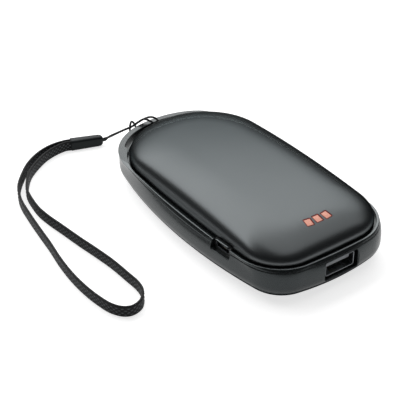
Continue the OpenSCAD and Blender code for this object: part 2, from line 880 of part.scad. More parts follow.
module power_button() {
    flange_x = button_flange_x - button_flange;
    color("#26282a") {
        translate([flange_x, button_y, button_z])
        rotate([90, 0, 90])
        linear_extrude(button_face_x - flange_x)
        polygon(round_rect(button_l, button_h, button_h / 2 - button_gap));
        translate([flange_x, button_y, button_z])
        rotate([90, 0, 90])
        linear_extrude(button_flange)
        polygon(round_rect(button_l + button_flange, button_h + button_flange, button_h / 2));
        translate([plunger_tip_x + stack_gap, button_y - plunger_w / 2, button_z - plunger_h / 2])
        cube([flange_x + button_flange / 2 - plunger_tip_x - stack_gap, plunger_w, plunger_h]);
    }
}

module switch_body() {
    hole_w = plunger_w + 2 * running_gap;
    hole_h = plunger_h + 2 * running_gap;
    hole_l = plunger_in + button_travel + stack_gap;
    color("#c9cdd0")
    difference() {
        translate([switch_face_x - switch_l, button_y - switch_w / 2, button_z - switch_h / 2])
        cube([switch_l, switch_w, switch_h]);
        translate([switch_face_x - hole_l, button_y - hole_w / 2, button_z - hole_h / 2])
        cube([hole_l + over, hole_w, hole_h]);
    }
}

module switch_plunger() {
    color("#1d1f20")
    translate([switch_face_x - plunger_in, button_y - plunger_w / 2, button_z - plunger_h / 2])
    cube([plunger_in + plunger_out, plunger_w, plunger_h]);
}

// A socket's outer or inner profile, pushed along +Y from the mouth
module usb_a_block(w, h, r, from, l) {
    translate([usb_a_x, usb_a_mouth_y + from + l, usb_a_z])
    rotate([90, 0, 0])
    linear_extrude(l)
    polygon(round_rect(w, h, r));
}

module usb_a_shell() {
    tab_l = usb_a_l / 4;
    tab_w = usb_a_open_w / 8;
    color("#b9bdc0")
    union() {
        difference() {
            usb_a_block(
                usb_a_w + 2 * usb_a_wall, usb_a_h + 2 * usb_a_wall,
                usb_a_corner_r + usb_a_wall, 0, usb_a_l
            );
            usb_a_block(usb_a_w, usb_a_h, usb_a_corner_r, -over, usb_a_l + over - usb_a_wall);
        }
        for (side = [-1, 1])
            translate([
                usb_a_x + side * (usb_a_w / 2 + usb_a_wall / 2 + tab_w / 2),
                usb_a_mouth_y + usb_a_l - tab_l,
                pcb_top + seat_gap + usb_a_wall / 2
            ])
            cube([tab_w + usb_a_wall, tab_l, usb_a_wall], center = true);
    }
}

tongue_top = usb_a_z + usb_a_h / 2 - usb_a_tongue_drop;
tongue_front = usb_a_l - usb_a_wall - seat_gap - usb_a_housing_l - usb_a_tongue_l;

module usb_a_tongue() {
    color("#6f7477") {
        usb_a_block(
            usb_a_w - 2 * seat_gap, usb_a_h - 2 * seat_gap, usb_a_corner_r,
            tongue_front + usb_a_tongue_l, usb_a_housing_l
        );
        translate([
            usb_a_x - usb_a_tongue_w / 2, usb_a_mouth_y + tongue_front, tongue_top - usb_a_tongue_t
        ])
        cube([usb_a_tongue_w, usb_a_tongue_l + usb_a_housing_l / 2, usb_a_tongue_t]);
    }
}

module usb_a_contacts() {
    contact_shares = [-0.315, -0.09, 0.09, 0.315];
    contact_w = usb_a_tongue_w / 11;
    color("#d9b65a")
    for (share = contact_shares)
        translate([
            usb_a_x + share * usb_a_tongue_w - contact_w / 2,
            usb_a_mouth_y + tongue_front + over,
            tongue_top - usb_a_tongue_t - contact_t
        ])
        cube([contact_w, usb_a_tongue_l - over - seat_gap, contact_t]);
}

// The input socket's profile: a flat top with its lower corners cut
function micro_profile(w, h, cut) = [
    [-w / 2, h / 2], [-w / 2, cut - h / 2], [cut - w / 2, -h / 2],
    [w / 2 - cut, -h / 2], [w / 2, cut - h / 2], [w / 2, h / 2]
];

module micro_block(w, h, cut, from, l) {
    translate([micro_mouth_x + from, micro_y, micro_z])
    rotate([90, 0, 90])
    linear_extrude(l)
    polygon(micro_profile(w, h, cut));
}

micro_cut = 0.7;

module micro_usb_shell() {
    color("#b9bdc0")
    difference() {
        micro_block(micro_w + 2 * micro_wall, micro_shell_h, micro_cut + micro_wall / 2, 0, micro_l);
        micro_block(micro_w, micro_h, micro_cut, -over, micro_l + over - micro_wall);
    }
}

micro_housing_l = micro_l / 4;
micro_tongue_w = micro_w * 0.54;
micro_tongue_t = micro_h / 3;

module micro_usb_tongue() {
    color("#222426") {
        micro_block(
            micro_w - 2 * seat_gap, micro_h - 2 * seat_gap, micro_cut,
            micro_l - micro_wall - seat_gap - micro_housing_l, micro_housing_l
        );
        translate([micro_mouth_x + over, micro_y - micro_tongue_w / 2, micro_z])
        cube([micro_l - over - micro_housing_l, micro_tongue_w, micro_tongue_t]);
    }
}

module micro_usb_contacts() {
    contacts = 5;
    pitch = micro_tongue_w / (contacts + 0.5);
    color("#d9b65a")
    for (i = [0:contacts - 1])
        translate([
            micro_mouth_x + over + seat_gap,
            micro_y + (i - (contacts - 1) / 2) * pitch - pitch / 4,
            micro_z - contact_t / 2
        ])
        cube([micro_l - 2 * over - micro_housing_l - seat_gap, pitch / 2, contact_t / 2]);
}

module main_pcb() {
    slot_half = usb_a_w / 2 + usb_a_wall + stack_gap;
    slot_end = usb_a_mouth_y + usb_a_l + stack_gap;
    tab_w = micro_open_w - 2 * pcb_gap;
    color("#1f5a3a")
    difference() {
        translate([0, 0, pcb_z])
        linear_extrude(pcb_t)
        union() {
            difference() {
                polygon(outline(cover, frame_in + pcb_gap));
                translate([-body_w, pcb_back_y])
                square([2 * body_w, body_l]);
                translate([usb_a_x - slot_half, -body_l])
                square([2 * slot_half, body_l + slot_end]);
            }
            translate([pcb_tab_x, micro_y - tab_w / 2])
            square([-pcb_tab_x - boss_x, tab_w]);
        }
        for (side = [-1, 1], y = boss_ys)
            translate([side * boss_x, y, pcb_z - over])
            cylinder(d = screw_d + 2 * stack_gap, h = pcb_t + 2 * over);
    }
}

module pcb_screws() {
    color("#c7cacc")
    for (side = [-1, 1], y = boss_ys)
        translate([side * boss_x, y, pcb_top + seat_gap])
        difference() {
            union() {
                cylinder(d = screw_head_d, h = screw_head_h);
                translate([0, 0, -screw_l])
                cylinder(d = screw_pilot_d - 2 * seat_gap, h = screw_l + screw_head_h / 2);
            }
            translate([0, 0, screw_head_h])
            cube([screw_d, screw_d / 4, screw_head_h], center = true);
            translate([0, 0, screw_head_h])
            cube([screw_d / 4, screw_d, screw_head_h], center = true);
        }
}

// A chip with a row of pins along two sides, lying on the board
module chip(mid, w, l, h, pins) {
    pin_t = h / 6;
    pitch = l / pins;
    translate([mid[0], mid[1], pcb_top + seat_gap]) {
        translate([-w / 2, -l / 2, pin_t / 2])
        cube([w, l, h]);
        for (side = [-1, 1], i = [0:pins - 1])
            translate([side * w / 2, (i - (pins - 1) / 2) * pitch, pin_t / 2])
            cube([2 * pin_t + w / 6, pitch / 2, pin_t], center = true);
    }
}

chip_w = 3.9;
chip_l = 4.9;
chip_h = 1.4;
chip_pins = 4;
inductor_d = 6;
inductor_h = 3;
capacitor_l = 3.2;
capacitor_w = 1.6;
board_mid_y = (pcb_back_y + usb_a_mouth_y + usb_a_l) / 2;

module power_chip() {
    color("#202224")
    chip([boss_x - chip_w - boss_d, board_mid_y + chip_l], chip_w, chip_l, chip_h, chip_pins);
}

module control_chip() {
    color("#202224")
    chip([-boss_d / 2, pcb_back_y - chip_l], chip_w, 1.5 * chip_l, chip_h, 2 * chip_pins);
}

module inductor() {
    color("#4b4a48")
    translate([boss_d + chip_w / 2, board_mid_y - inductor_d, pcb_top + seat_gap]) {
        linear_extrude(inductor_h / 4)
        polygon(round_rect(inductor_d, inductor_d, inductor_d / 8));
        cylinder(d = 0.7 * inductor_d, h = inductor_h);
        translate([0, 0, 0.75 * inductor_h])
        linear_extrude(inductor_h / 4)
        polygon(round_rect(inductor_d, inductor_d, inductor_d / 4));
    }
}

// Capacitors in a row between the boss and the control chip
module capacitors() {
    count = 4;
    row_x = boss_d - boss_x;
    pitch = (-boss_d / 2 - chip_w - row_x) / count;
    color("#b58f5c")
    for (i = [0:count - 1])
        translate([row_x + i * pitch, pcb_back_y - 2 * capacitor_l, pcb_top + seat_gap])
        cube([capacitor_w, capacitor_l, capacitor_w]);
}

module status_leds() {
    color("#ffd9b0")
    for (i = [-1:1])
        translate([
            light_x + i * light_pitch - led_w / 2,
            max(light_y, usb_a_mouth_y + usb_a_l + led_w) - led_w / 2,
            pcb_top + seat_gap
        ])
        cube([led_w, led_w, led_h]);
}

module cell(z) {
    translate([0, cell_mid_y, z])
    linear_extrude(cell_t)
    polygon(round_rect(cell_w, cell_l, cell_corner_r));
}

module lower_cell() {
    color("#a9adb2")
    cell(cell_z);
}

module upper_cell() {
    color("#b4b8bd")
    cell(upper_cell_z);
}

tab_out = cell_front_gap / 2;
tab_w = 4;
tab_x = cell_w / 4;

// Tabs of the two cells, joined at each pole by an upright strip
module cell_tabs() {
    color("#c3b28a")
    for (side = [-1, 1])
        translate([side * tab_x - tab_w / 2, cell_front_y - seat_gap - tab_out / 2, cell_z + cell_t / 2])
        cube([tab_w, tab_out / 2, cell_t + stack_gap]);
}

module lower_foam() {
    color("#3b3d40")
    translate([0, cell_mid_y, lower_foam_z])
    linear_extrude(foam_t)
    polygon(round_rect(film_w - 2 * foam_t, cell_l - 2 * foam_t, film_corner_r));
}

module upper_foam() {
    color("#3b3d40")
    crown_pad(
        foam_w, cell_l - 2 * foam_t, cell_mid_y, upper_foam_skin,
        cells_top + seat_gap, film_corner_r
    );
}

module top_heater() {
    color("#c0793a")
    crown_film(film_w, film_l, film_mid_y, film_skin, film_t, film_corner_r);
}

module bottom_heater() {
    color("#c0793a")
    translate([0, film_mid_y, lower_film_z])
    linear_extrude(film_t)
    polygon(round_rect(film_w, film_l, film_corner_r));
}

thermistor_w = 2;
thermistor_l = 3;
thermistor_h = 0.9;
thermistor_y = cell_front_y - 2 * thermistor_l;

module thermistor() {
    top = crown_z(thermistor_w, thermistor_y - thermistor_l / 2) - film_skin - film_t - seat_gap;
    color("#1b1c1d")
    translate([-thermistor_w / 2, thermistor_y - thermistor_l / 2, top - thermistor_h])
    cube([thermistor_w, thermistor_l, thermistor_h]);
}

wire_d = 1.1;
wire_sides = 8;

// A wire from a cell tab up and over to a pad on the board
module battery_lead(side) {
    y_tab = cell_front_y - seat_gap - tab_out / 2 - wire_d / 2 - seat_gap;
    x = side * tab_x;
    foot = pcb_top + seat_gap + wire_d;
    arch = max(upper_cell_z + cell_t * 0.6, foot + 2 * wire_d);
    round_cord(
        [
            [x, y_tab, upper_cell_z + cell_t / 3],
            [x, y_tab, arch - wire_d / 2],
            [x, y_tab - wire_d / 2, arch],
            [x, y_tab - 1.5 * wire_d, arch],
            [x, y_tab - 2.4 * wire_d, arch - wire_d],
            [x, y_tab - 2.6 * wire_d, foot],
            [x, y_tab - 2.6 * wire_d, pcb_top + seat_gap]
        ],
        wire_d, wire_sides
    );
}

module battery_lead_red() {
    color("#b3201c")
    battery_lead(1);
}

module battery_lead_black() {
    color("#161718")
    battery_lead(-1);
}

// Pairs of thin wires from each heater film to the board
module heater_leads() {
    d = wire_d / 2;
    upper_y = film_mid_y - film_l / 2 + film_corner_r / 2;
    lower_y = upper_y + film_corner_r;
    upper_z = crown_z(0, upper_y) - film_skin - film_t - seat_gap - d / 2;
    lower_z = lower_film_z + film_t + seat_gap + d / 2;
    color("#7c2f2a")
    for (side = [-1, 1]) {
        x = side * 2 * d;
        round_cord(
            [
                [x, upper_y + 6 * d, upper_z],
                [x, upper_y + 3 * d, upper_z - d / 4],
                [x, upper_y + d, upper_z - d],
                [x, upper_y, upper_z - 3 * d],
                [x, upper_y, pcb_top + seat_gap]
            ],
            d, wire_sides
        );
        round_cord(
            [
                [x, lower_y + 6 * d, lower_z],
                [x, lower_y + 3 * d, lower_z],
                [x, lower_y + d, lower_z + d],
                [x, lower_y, lower_z + 3 * d],
                [x, lower_y, pcb_z - seat_gap]
            ],
            d, wire_sides
        );
    }
}

module strap_cord() {
    color("#17191b")
    round_cord(cord_route, cord_d, 8);
}

module strap_bead() {
    color("#1e2022")
    translate([bead_band_end[0], bead_band_end[1], 0])
    rotate([0, 0, bead_turn])
    translate([bead_l / 2, 0, 0]) {
        translate([0, 0, bead_chamfer])
        linear_extrude(bead_h - 2 * bead_chamfer)
        polygon(round_rect(bead_l, bead_w, bead_edge_r));
        linear_extrude(bead_h)
        polygon(round_rect(bead_l - 2 * bead_chamfer, bead_w - 2 * bead_chamfer, bead_edge_r));
    }
}

module wrist_strap() {
    color("#232527")
    flat_cord(strap_route, strap_w, strap_t, strap_chamfer);
}

top_cover();
mid_frame();
bottom_cover();
top_adhesive();
bottom_adhesive();
light_pipe();
power_button();
switch_body();
switch_plunger();
usb_a_shell();
usb_a_tongue();
usb_a_contacts();
micro_usb_shell();
micro_usb_tongue();
micro_usb_contacts();
main_pcb();
pcb_screws();
power_chip();
control_chip();
inductor();
capacitors();
status_leds();
lower_cell();
upper_cell();
cell_tabs();
lower_foam();
upper_foam();
top_heater();
bottom_heater();
thermistor();
battery_lead_red();
battery_lead_black();
heater_leads();
strap_cord();
strap_bead();
wrist_strap();
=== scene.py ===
"""Looks of the rechargeable hand warmer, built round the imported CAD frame.

Lengths are in mm until a mesh is made.
"""

import math

import bmesh
import bpy
import numpy as np
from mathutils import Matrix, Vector


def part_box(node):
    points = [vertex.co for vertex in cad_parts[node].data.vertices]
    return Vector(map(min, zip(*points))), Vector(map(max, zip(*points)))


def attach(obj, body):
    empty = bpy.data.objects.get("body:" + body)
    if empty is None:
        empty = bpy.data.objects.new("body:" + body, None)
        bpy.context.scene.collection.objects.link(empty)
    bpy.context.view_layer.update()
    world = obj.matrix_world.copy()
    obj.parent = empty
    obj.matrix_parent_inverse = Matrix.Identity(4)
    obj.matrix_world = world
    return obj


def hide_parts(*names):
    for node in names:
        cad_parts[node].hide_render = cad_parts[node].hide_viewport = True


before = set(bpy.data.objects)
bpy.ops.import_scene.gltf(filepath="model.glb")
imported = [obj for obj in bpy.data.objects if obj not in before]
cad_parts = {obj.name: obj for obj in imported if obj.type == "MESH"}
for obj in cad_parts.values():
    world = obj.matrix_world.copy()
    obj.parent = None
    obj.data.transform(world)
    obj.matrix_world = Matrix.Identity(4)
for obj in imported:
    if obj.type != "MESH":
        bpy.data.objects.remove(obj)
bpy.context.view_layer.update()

MM = 0.001

# Sizes repeated from the part's source
BODY_W, BODY_L, BODY_H = 64.0, 116.0, 23.6
BELLY_Z, PART_Z, RIM_Z = 6.85, 4.6, 14.2
WIDEST_Y = -7.0
SIDE_BOW, FRONT_BOW, BACK_BOW = 8.4, 5.9, 17.5
FRONT_CORNER, BACK_CORNER = 15.0, 22.0
RIM_SIDE_IN, RIM_FRONT_IN, RIM_BACK_IN = 1.8, 2.0, 1.0
RIM_SIDE_BOW, RIM_FRONT_BOW, RIM_BACK_BOW = 1.4, 1.5, 15.0
RIM_FRONT_CORNER, COVER_BACK_CORNER = 18.0, 25.6
UNDERSIDE_DRAW = 8.2
LIP_W, LIP_H, GROOVE_H, GROOVE_D = 1.0, 0.9, 0.4, 0.3
LEDGE_W, LEDGE_Z = 1.9, 12.8
BAR_W, SLOT_W, SLOT_HALF, SLOT_R = 2.9, 3.1, 22.0, 0.9
COVER_GAP, COVER_T, ADHESIVE_T = 0.7, 1.5, 0.15
SHOULDER_Z = 13.75
CROWN_SIDE_FALL, CROWN_END_FALL = 1.04, 3.6
USB_X, USB_Z, USB_Y = 1.0, 8.45, -56.6
USB_OPEN_W, USB_OPEN_H = 15.3, 7.1
USB_INSIDE, USB_SHELL, USB_L = (12.5, 5.12, 0.5), (13.14, 5.76, 0.82), 14.0
USB_HALF_H, TONGUE_HALF_W = USB_INSIDE[1] / 2, 5.55
MICRO_Y, MICRO_Z, MICRO_X = -28.7, 12.0, -29.6
MICRO_OPEN, MICRO_L = (9.8, 4.1, 1.0), 5.3
HUMP_HALF, HUMP_RAMP = 3.05, 1.4
BUTTON_Y, BUTTON_Z = -24.0, 8.03
BUTTON_L, BUTTON_H, BUTTON_GAP = 9.6, 3.4, 0.15
FLANGE_T, BUTTON_WALL = 0.8, 1.6
LIGHT_X, LIGHT_PITCH, LIGHT_FAN, LIGHT_R, LIGHT_GAP = 0.5, 4.0, 8.0, 0.35, 0.08
CORD_D, STRAP_W, STRAP_T = 0.8, 4.5, 1.2
BEAD_END, BEAD_TURN = (-29.0, 76.5), -19.0
BEAD_L, BEAD_W, BEAD_H = 13.8, 3.9, 4.7

# Sizes of this scene alone, most of them to follow the photo more closely
BAR_SEEN_W, RIM_BACK_CORNER = 2.55, 26.0
DIP_FRONT, DIP_MORE, DIP_RIGHT = 0.35, 0.45, 1.1
HUMP_H = 0.9
LIGHT_Y, LIGHT_L, LIGHT_W = -43.9, 3.1, 3.5
USB_OPEN_R, USB_SINK, MICRO_SINK, MICRO_OPEN_DROP = 0.9, 0.35, 0.45, 0.12
TONGUE_DROP, TONGUE_T = 1.35, 1.35
BEAD_CORD_W, BEAD_CORD_H = 3.2, 4.5
CORD_SEEN_D = CORD_D + 0.06
CORD_TUCK, BAND_TUCK = 1.3, 1.2

CORD_ROUTE = [
    (-15.8, 72.4, 2.4), (-14.8, 72.2, 2.5), (-14, 70, 3.9), (-12.4, 66.4, 6.8),
    (-10.6, 62.8, 9.7), (-9, 59.5, 12.3), (-7.1, 57.9, 14.3), (-4.8, 56.8, 15.7),
    (-2.6, 55.6, 16.3), (-0.9, 54.6, 15.6), (-0.3, 53.3, 14.5), (-0.3, 52.6, 12.8),
    (-0.4, 52.5, 8), (-0.9, 52.8, 4.8), (-2.3, 54.3, 3.8), (-4.4, 56.5, 3.8),
    (-6.4, 58.1, 4.7), (-7.4, 58.4, 7), (-7.6, 58.8, 10.8), (-7.9, 59.9, 13),
    (-9.2, 59.8, 14.4), (-10.4, 59, 13.6), (-10.9, 58.5, 11.6), (-10.6, 58, 7),
    (-9.6, 57.5, 4.3), (-8, 56.2, 3.7), (-5, 54.1, 3.8), (-3.2, 52.9, 4.8),
    (-2.6, 52.5, 8), (-2.5, 52.5, 12.8), (-2.6, 52.9, 14.2), (-3.6, 54, 15.3),
    (-5.4, 56, 16.1), (-7.6, 57.2, 14.9), (-9.6, 58.8, 12.8), (-11.2, 61.9, 10.4),
    (-13.1, 65.6, 7.5), (-14.7, 69.2, 4.6), (-15.3, 71.2, 2.3), (-16.1, 71.5, 2.2),
]
STRAP_ROUTE = [
    (-28.8, 77.2), (-31, 77.9), (-37, 78.2), (-43.5, 76.5), (-51, 72), (-57, 66.2),
    (-62.3, 59.6), (-65, 54.2), (-66.8, 48.8), (-68, 42.5), (-69.1, 35.9), (-70.3, 27.6),
    (-71.5, 19), (-73.3, 8.4), (-74.3, -2), (-74.3, -10.5), (-73.6, -17.7), (-72.3, -23.5),
    (-70, -27.2), (-67.2, -28.6), (-63.4, -27.8), (-60.9, -25.6), (-59.1, -22.5), (-58.3, -18.4),
    (-58.4, -12.8), (-58.8, -2.6), (-60.1, 8.2), (-61.1, 15), (-62.4, 26), (-63.4, 34),
    (-63.7, 41), (-62.9, 47.6), (-61.3, 54.5), (-58, 60.6), (-53.8, 66), (-48.5, 70.3),
    (-42, 74.2), (-36, 76.1), (-31.2, 76.5), (-29.3, 75.8),
]


# Outlines
def bow_r(half, rise):
    return (half * half + rise * rise) / (2 * rise)


def arc(mid, r, start, end, steps):
    """Points of an arc, angles in degrees, both ends included."""
    a = np.radians(np.linspace(start, end, steps + 1))
    return np.array(mid) + r * np.stack([np.cos(a), np.sin(a)], axis=1)


def quarter(half_w, side_r, wide_y, end_y, end_r, corner_r, inset):
    """A quarter of an outline: three arcs that touch, of the side, the corner and the end."""
    side = np.array([half_w - side_r, wide_y])
    end = np.array([0, end_y - end_r])
    ra, rb = side_r - corner_r, end_r - corner_r
    apart = np.linalg.norm(end - side)
    along = (end - side) / apart
    reach = (apart**2 + ra * ra - rb * rb) / (2 * apart)
    off = math.sqrt(ra * ra - reach * reach)
    corner = side + along * reach + np.array([-along[1], along[0]]) * off
    side_a = math.degrees(math.atan2(*(corner - side)[::-1]))
    end_a = math.degrees(math.atan2(*(corner - end)[::-1]))
    return np.concatenate([
        arc(side, side_r - inset, 0, side_a, 22),
        arc(corner, corner_r - inset, side_a, end_a, 30)[1:],
        arc(end, end_r - inset, end_a, 90, 14)[1:],
    ])


def outline(o, inset=0.0):
    """A closed outline, mirrored about x = 0."""
    back = quarter(o[0], o[1], o[2], o[6], o[7], o[8], inset)
    front = quarter(o[0], o[1], -o[2], o[3], o[4], o[5], inset)
    flip = np.array([-1, 1])
    return np.concatenate([
        back[:-1], back[:0:-1] * flip, front[:-1] * -1, front[:0:-1] * -flip,
    ])


RIM_HALF = BODY_W / 2 - RIM_SIDE_IN
RIM_BACK = BODY_L / 2 - RIM_BACK_IN
RIM_FRONT = BODY_L / 2 - RIM_FRONT_IN
COVER_HALF = RIM_HALF - LIP_W - COVER_GAP
COVER_BACK = RIM_BACK - BAR_W - SLOT_W
COVER_FRONT = RIM_FRONT - LIP_W - COVER_GAP
COVER_MID_Y = (COVER_BACK - COVER_FRONT) / 2
COVER_HALF_L = (COVER_BACK + COVER_FRONT) / 2

# Half width, side radius and widest y, then reach, radius and corner of the front and of the back
belly = (
    BODY_W / 2, bow_r(BODY_L / 2, SIDE_BOW), WIDEST_Y,
    BODY_L / 2, bow_r(BODY_W / 2, FRONT_BOW), FRONT_CORNER,
    BODY_L / 2, bow_r(BODY_W / 2, BACK_BOW), BACK_CORNER,
)
rim = (
    RIM_HALF, bow_r(BODY_L / 2, RIM_SIDE_BOW), WIDEST_Y,
    RIM_FRONT, bow_r(RIM_HALF, RIM_FRONT_BOW), RIM_FRONT_CORNER,
    RIM_BACK, bow_r(RIM_HALF, RIM_BACK_BOW), RIM_BACK_CORNER,
)
cover = (
    COVER_HALF, rim[1], WIDEST_Y,
    COVER_FRONT, rim[4], RIM_FRONT_CORNER - LIP_W - COVER_GAP,
    COVER_BACK, bow_r(COVER_HALF, RIM_BACK_BOW), COVER_BACK_CORNER,
)
base = belly[:6] + (COVER_BACK, belly[7], belly[8])


def eased(t):
    """0 to 1 with a soft start and end."""
    t = min(1.0, max(0.0, t))
    return t * t * (3 - 2 * t)


def rim_dip(x, y):
    """How far the rim runs below its height at the back; each step has a start and a length in y or x."""
    along = eased((30 - y) / 24) * (DIP_FRONT + DIP_MORE * eased((y + 44) / 22))
    right = DIP_RIGHT * eased((x - 13) / 10) * eased((y + 46) / 14) * eased((52 - y) / 10)
    return max(along, right)


def dipped(points, low=8.0, full=12.9):
    """Lowers points by the rim's dip, from nothing at the low height to all at the full one."""
    for p in points:
        p[2] -= rim_dip(p[0], p[1]) * min(1.0, max(0.0, (p[2] - low) / (full - low)))
    return points


def at_z(points, z):
    return np.column_stack([points, np.full(len(points), z)])


def underside_angle(z, skin=0.0):
    """Angle on the rounded underside at a height, in radians."""
    return math.asin((BELLY_Z - z) / (BELLY_Z - skin))


def underside_inset(angle):
    return UNDERSIDE_DRAW * (1 - math.cos(angle))


def underside_line(z, extra=0.0):
    """The outline at a height where the wall follows the rounded underside."""
    return outline(belly, underside_inset(underside_angle(z)) + extra)


WALL_BULGE = 3.0


def wall(z, inset=0.0):
    """Outer wall between the widest line and the rim; it leans in faster towards the rim."""
    share = ((z - BELLY_Z) / (RIM_Z - BELLY_Z)) ** WALL_BULGE
    return dipped(at_z(outline(belly, inset) * (1 - share) + outline(rim, inset) * share, z))


def crown_z(x, y):
    """Height of the cover's crown, which falls to the sides and the ends."""
    return (
        BODY_H
        - CROWN_SIDE_FALL * (x / COVER_HALF) ** 2
        - CROWN_END_FALL * ((y - COVER_MID_Y) / COVER_HALF_L) ** 2
    )


# The shoulder's width, and how full its arc is: a superellipse of power 2.6
SOFT_W, BULGE = 17.0, 2 / 2.6


def shoulder(angle, skin=0.0):
    """Ring of the top cover's shoulder; angle in degrees from the edge."""
    a = math.radians(angle)
    across, up = max(0.0, math.cos(a)) ** BULGE, math.sin(a) ** BULGE
    inset = skin + (SOFT_W - skin) * (1 - across)
    p = outline(cover)
    x = p[:, 0] * (1 - inset / COVER_HALF)
    y = COVER_MID_Y + (p[:, 1] - COVER_MID_Y) * (1 - inset / COVER_HALF_L)
    rise = (crown_z(x, y) - skin - SHOULDER_Z) * up
    return np.column_stack([x, y, SHOULDER_Z + rise])


def crown(share, skin=0.0):
    """Ring of the top cover's crown, at a share of the way out to the shoulder."""
    p = shoulder(90)
    x = p[:, 0] * share
    y = COVER_MID_Y + (p[:, 1] - COVER_MID_Y) * share
    return np.column_stack([x, y, crown_z(x, y) - skin])


def rounded_rect(w, l, r, steps=8):
    """Points of a rounded rectangle about its middle."""
    return np.concatenate([
        arc((w / 2 - r, l / 2 - r), r, 0, 90, steps),
        arc((r - w / 2, l / 2 - r), r, 90, 180, steps),
        arc((r - w / 2, r - l / 2), r, 180, 270, steps),
        arc((w / 2 - r, r - l / 2), r, 270, 360, steps),
    ])


def rounding(r, angles):
    """How far in and how deep a rounded edge lies, at angles from 0 at the side to 90 at the face."""
    turns = [math.radians(a) for a in angles]
    return [(r * (1 - math.cos(t)), r * (1 - math.sin(t))) for t in turns]


def distances(path):
    """Distance along a path at each of its points."""
    return np.concatenate([[0], np.cumsum(np.linalg.norm(np.diff(path, axis=0), axis=1))])


def resampled(points, step, closed=True):
    """A polyline cut into even steps."""
    p = np.vstack([points, points[:1]]) if closed else np.array(points)
    at = distances(p)
    count = max(8, int(round(at[-1] / step)))
    t = np.linspace(0, at[-1], count + 1)
    out = np.column_stack([np.interp(t, at, p[:, k]) for k in range(p.shape[1])])
    return out[:-1] if closed else out


def resample_like(contour, count):
    """The same closed contour with a given count of points, begun at its rightmost middle."""
    angles = np.arctan2(contour[:, 1] - contour[:, 1].mean(), contour[:, 0] - contour[:, 0].mean())
    order = np.roll(contour, -int(np.argmin(np.abs(angles))), axis=0)
    if np.cross(order[1] - order[0], order[2] - order[1]) < 0 and angles[1] < angles[0]:
        order = order[::-1]
    closed = np.vstack([order, order[:1]])
    at = distances(closed)
    t = np.linspace(0, at[-1], count + 1)[:-1]
    return np.column_stack([np.interp(t, at, closed[:, k]) for k in (0, 1)])


def outward(contour):
    """Unit normals that point out of a counter-clockwise contour."""
    step = np.roll(contour, -1, axis=0) - np.roll(contour, 1, axis=0)
    step /= np.linalg.norm(step, axis=1)[:, None]
    return np.column_stack([step[:, 1], -step[:, 0]])


# Meshes
def placed(name, data):
    obj = bpy.data.objects.new(name, data)
    bpy.context.scene.collection.objects.link(obj)
    return obj


def new_mesh(name, points, faces, sharp=40.0, materials=()):
    """An object from points in mm; edges steeper than sharp degrees stay crisp."""
    mesh = bpy.data.meshes.new(name)
    mesh.from_pydata((np.asarray(points) * MM).tolist(), [], faces)
    obj = placed(name, mesh)
    tidy(obj, sharp)
    for m in materials:
        mesh.materials.append(m)
    return obj


def tidy(obj, sharp=40.0, merge=0.0):
    """Merges points closer than merge mm, turns the faces outwards and marks the crisp edges."""
    bm = bmesh.new()
    bm.from_mesh(obj.data)
    if merge:
        bmesh.ops.remove_doubles(bm, verts=bm.verts, dist=merge * MM)
        bmesh.ops.dissolve_degenerate(bm, edges=bm.edges, dist=merge * MM)
    bmesh.ops.recalc_face_normals(bm, faces=bm.faces)
    limit = math.radians(sharp)
    for f in bm.faces:
        f.smooth = True
    for e in bm.edges:
        e.smooth = len(e.link_faces) != 2 or e.calc_face_angle(0) < limit
    bm.to_mesh(obj.data)
    bm.free()


def ring_quads(rows, count, wrap_rows=False):
    """Faces between rings whose points follow each other in one list."""
    total = rows if wrap_rows else rows - 1
    return [
        (
            i * count + j, i * count + (j + 1) % count,
            (i + 1) % rows * count + (j + 1) % count, (i + 1) % rows * count + j,
        )
        for i in range(total) for j in range(count)
    ]


def loft(name, rings, sharp=40.0, materials=(), ends="fan"):
    """A closed solid through rings of equal count; ends is fan, face or wrap."""
    count = len(rings[0])
    points = [p for r in rings for p in r]
    faces = ring_quads(len(rings), count, ends == "wrap")
    last = (len(rings) - 1) * count
    if ends == "fan":
        for ring, first, flip in ((rings[0], 0, 1), (rings[-1], last, -1)):
            mid = len(points)
            points.append(np.mean(ring, axis=0))
            faces += [(mid, first + (j + 1) % count, first + j)[::flip] for j in range(count)]
    elif ends == "face":
        faces += [tuple(range(count))[::-1], tuple(range(last, last + count))]
    return new_mesh(name, points, faces, sharp, materials)


def cut(obj, cutter):
    """Cuts one closed mesh out of another."""
    mod = obj.modifiers.new("cut", "BOOLEAN")
    mod.operation, mod.solver, mod.object = "DIFFERENCE", "EXACT", cutter
    graph = bpy.context.evaluated_depsgraph_get()
    mesh = bpy.data.meshes.new_from_object(obj.evaluated_get(graph))
    obj.modifiers.remove(mod)
    old, obj.data = obj.data, mesh
    bpy.data.meshes.remove(old)
    bpy.data.objects.remove(cutter)


def join(target, *others):
    """Puts the other meshes into the first one."""
    bm = bmesh.new()
    bm.from_mesh(target.data)
    for o in others:
        bm.from_mesh(o.data)
        bpy.data.objects.remove(o)
    bm.to_mesh(target.data)
    bm.free()


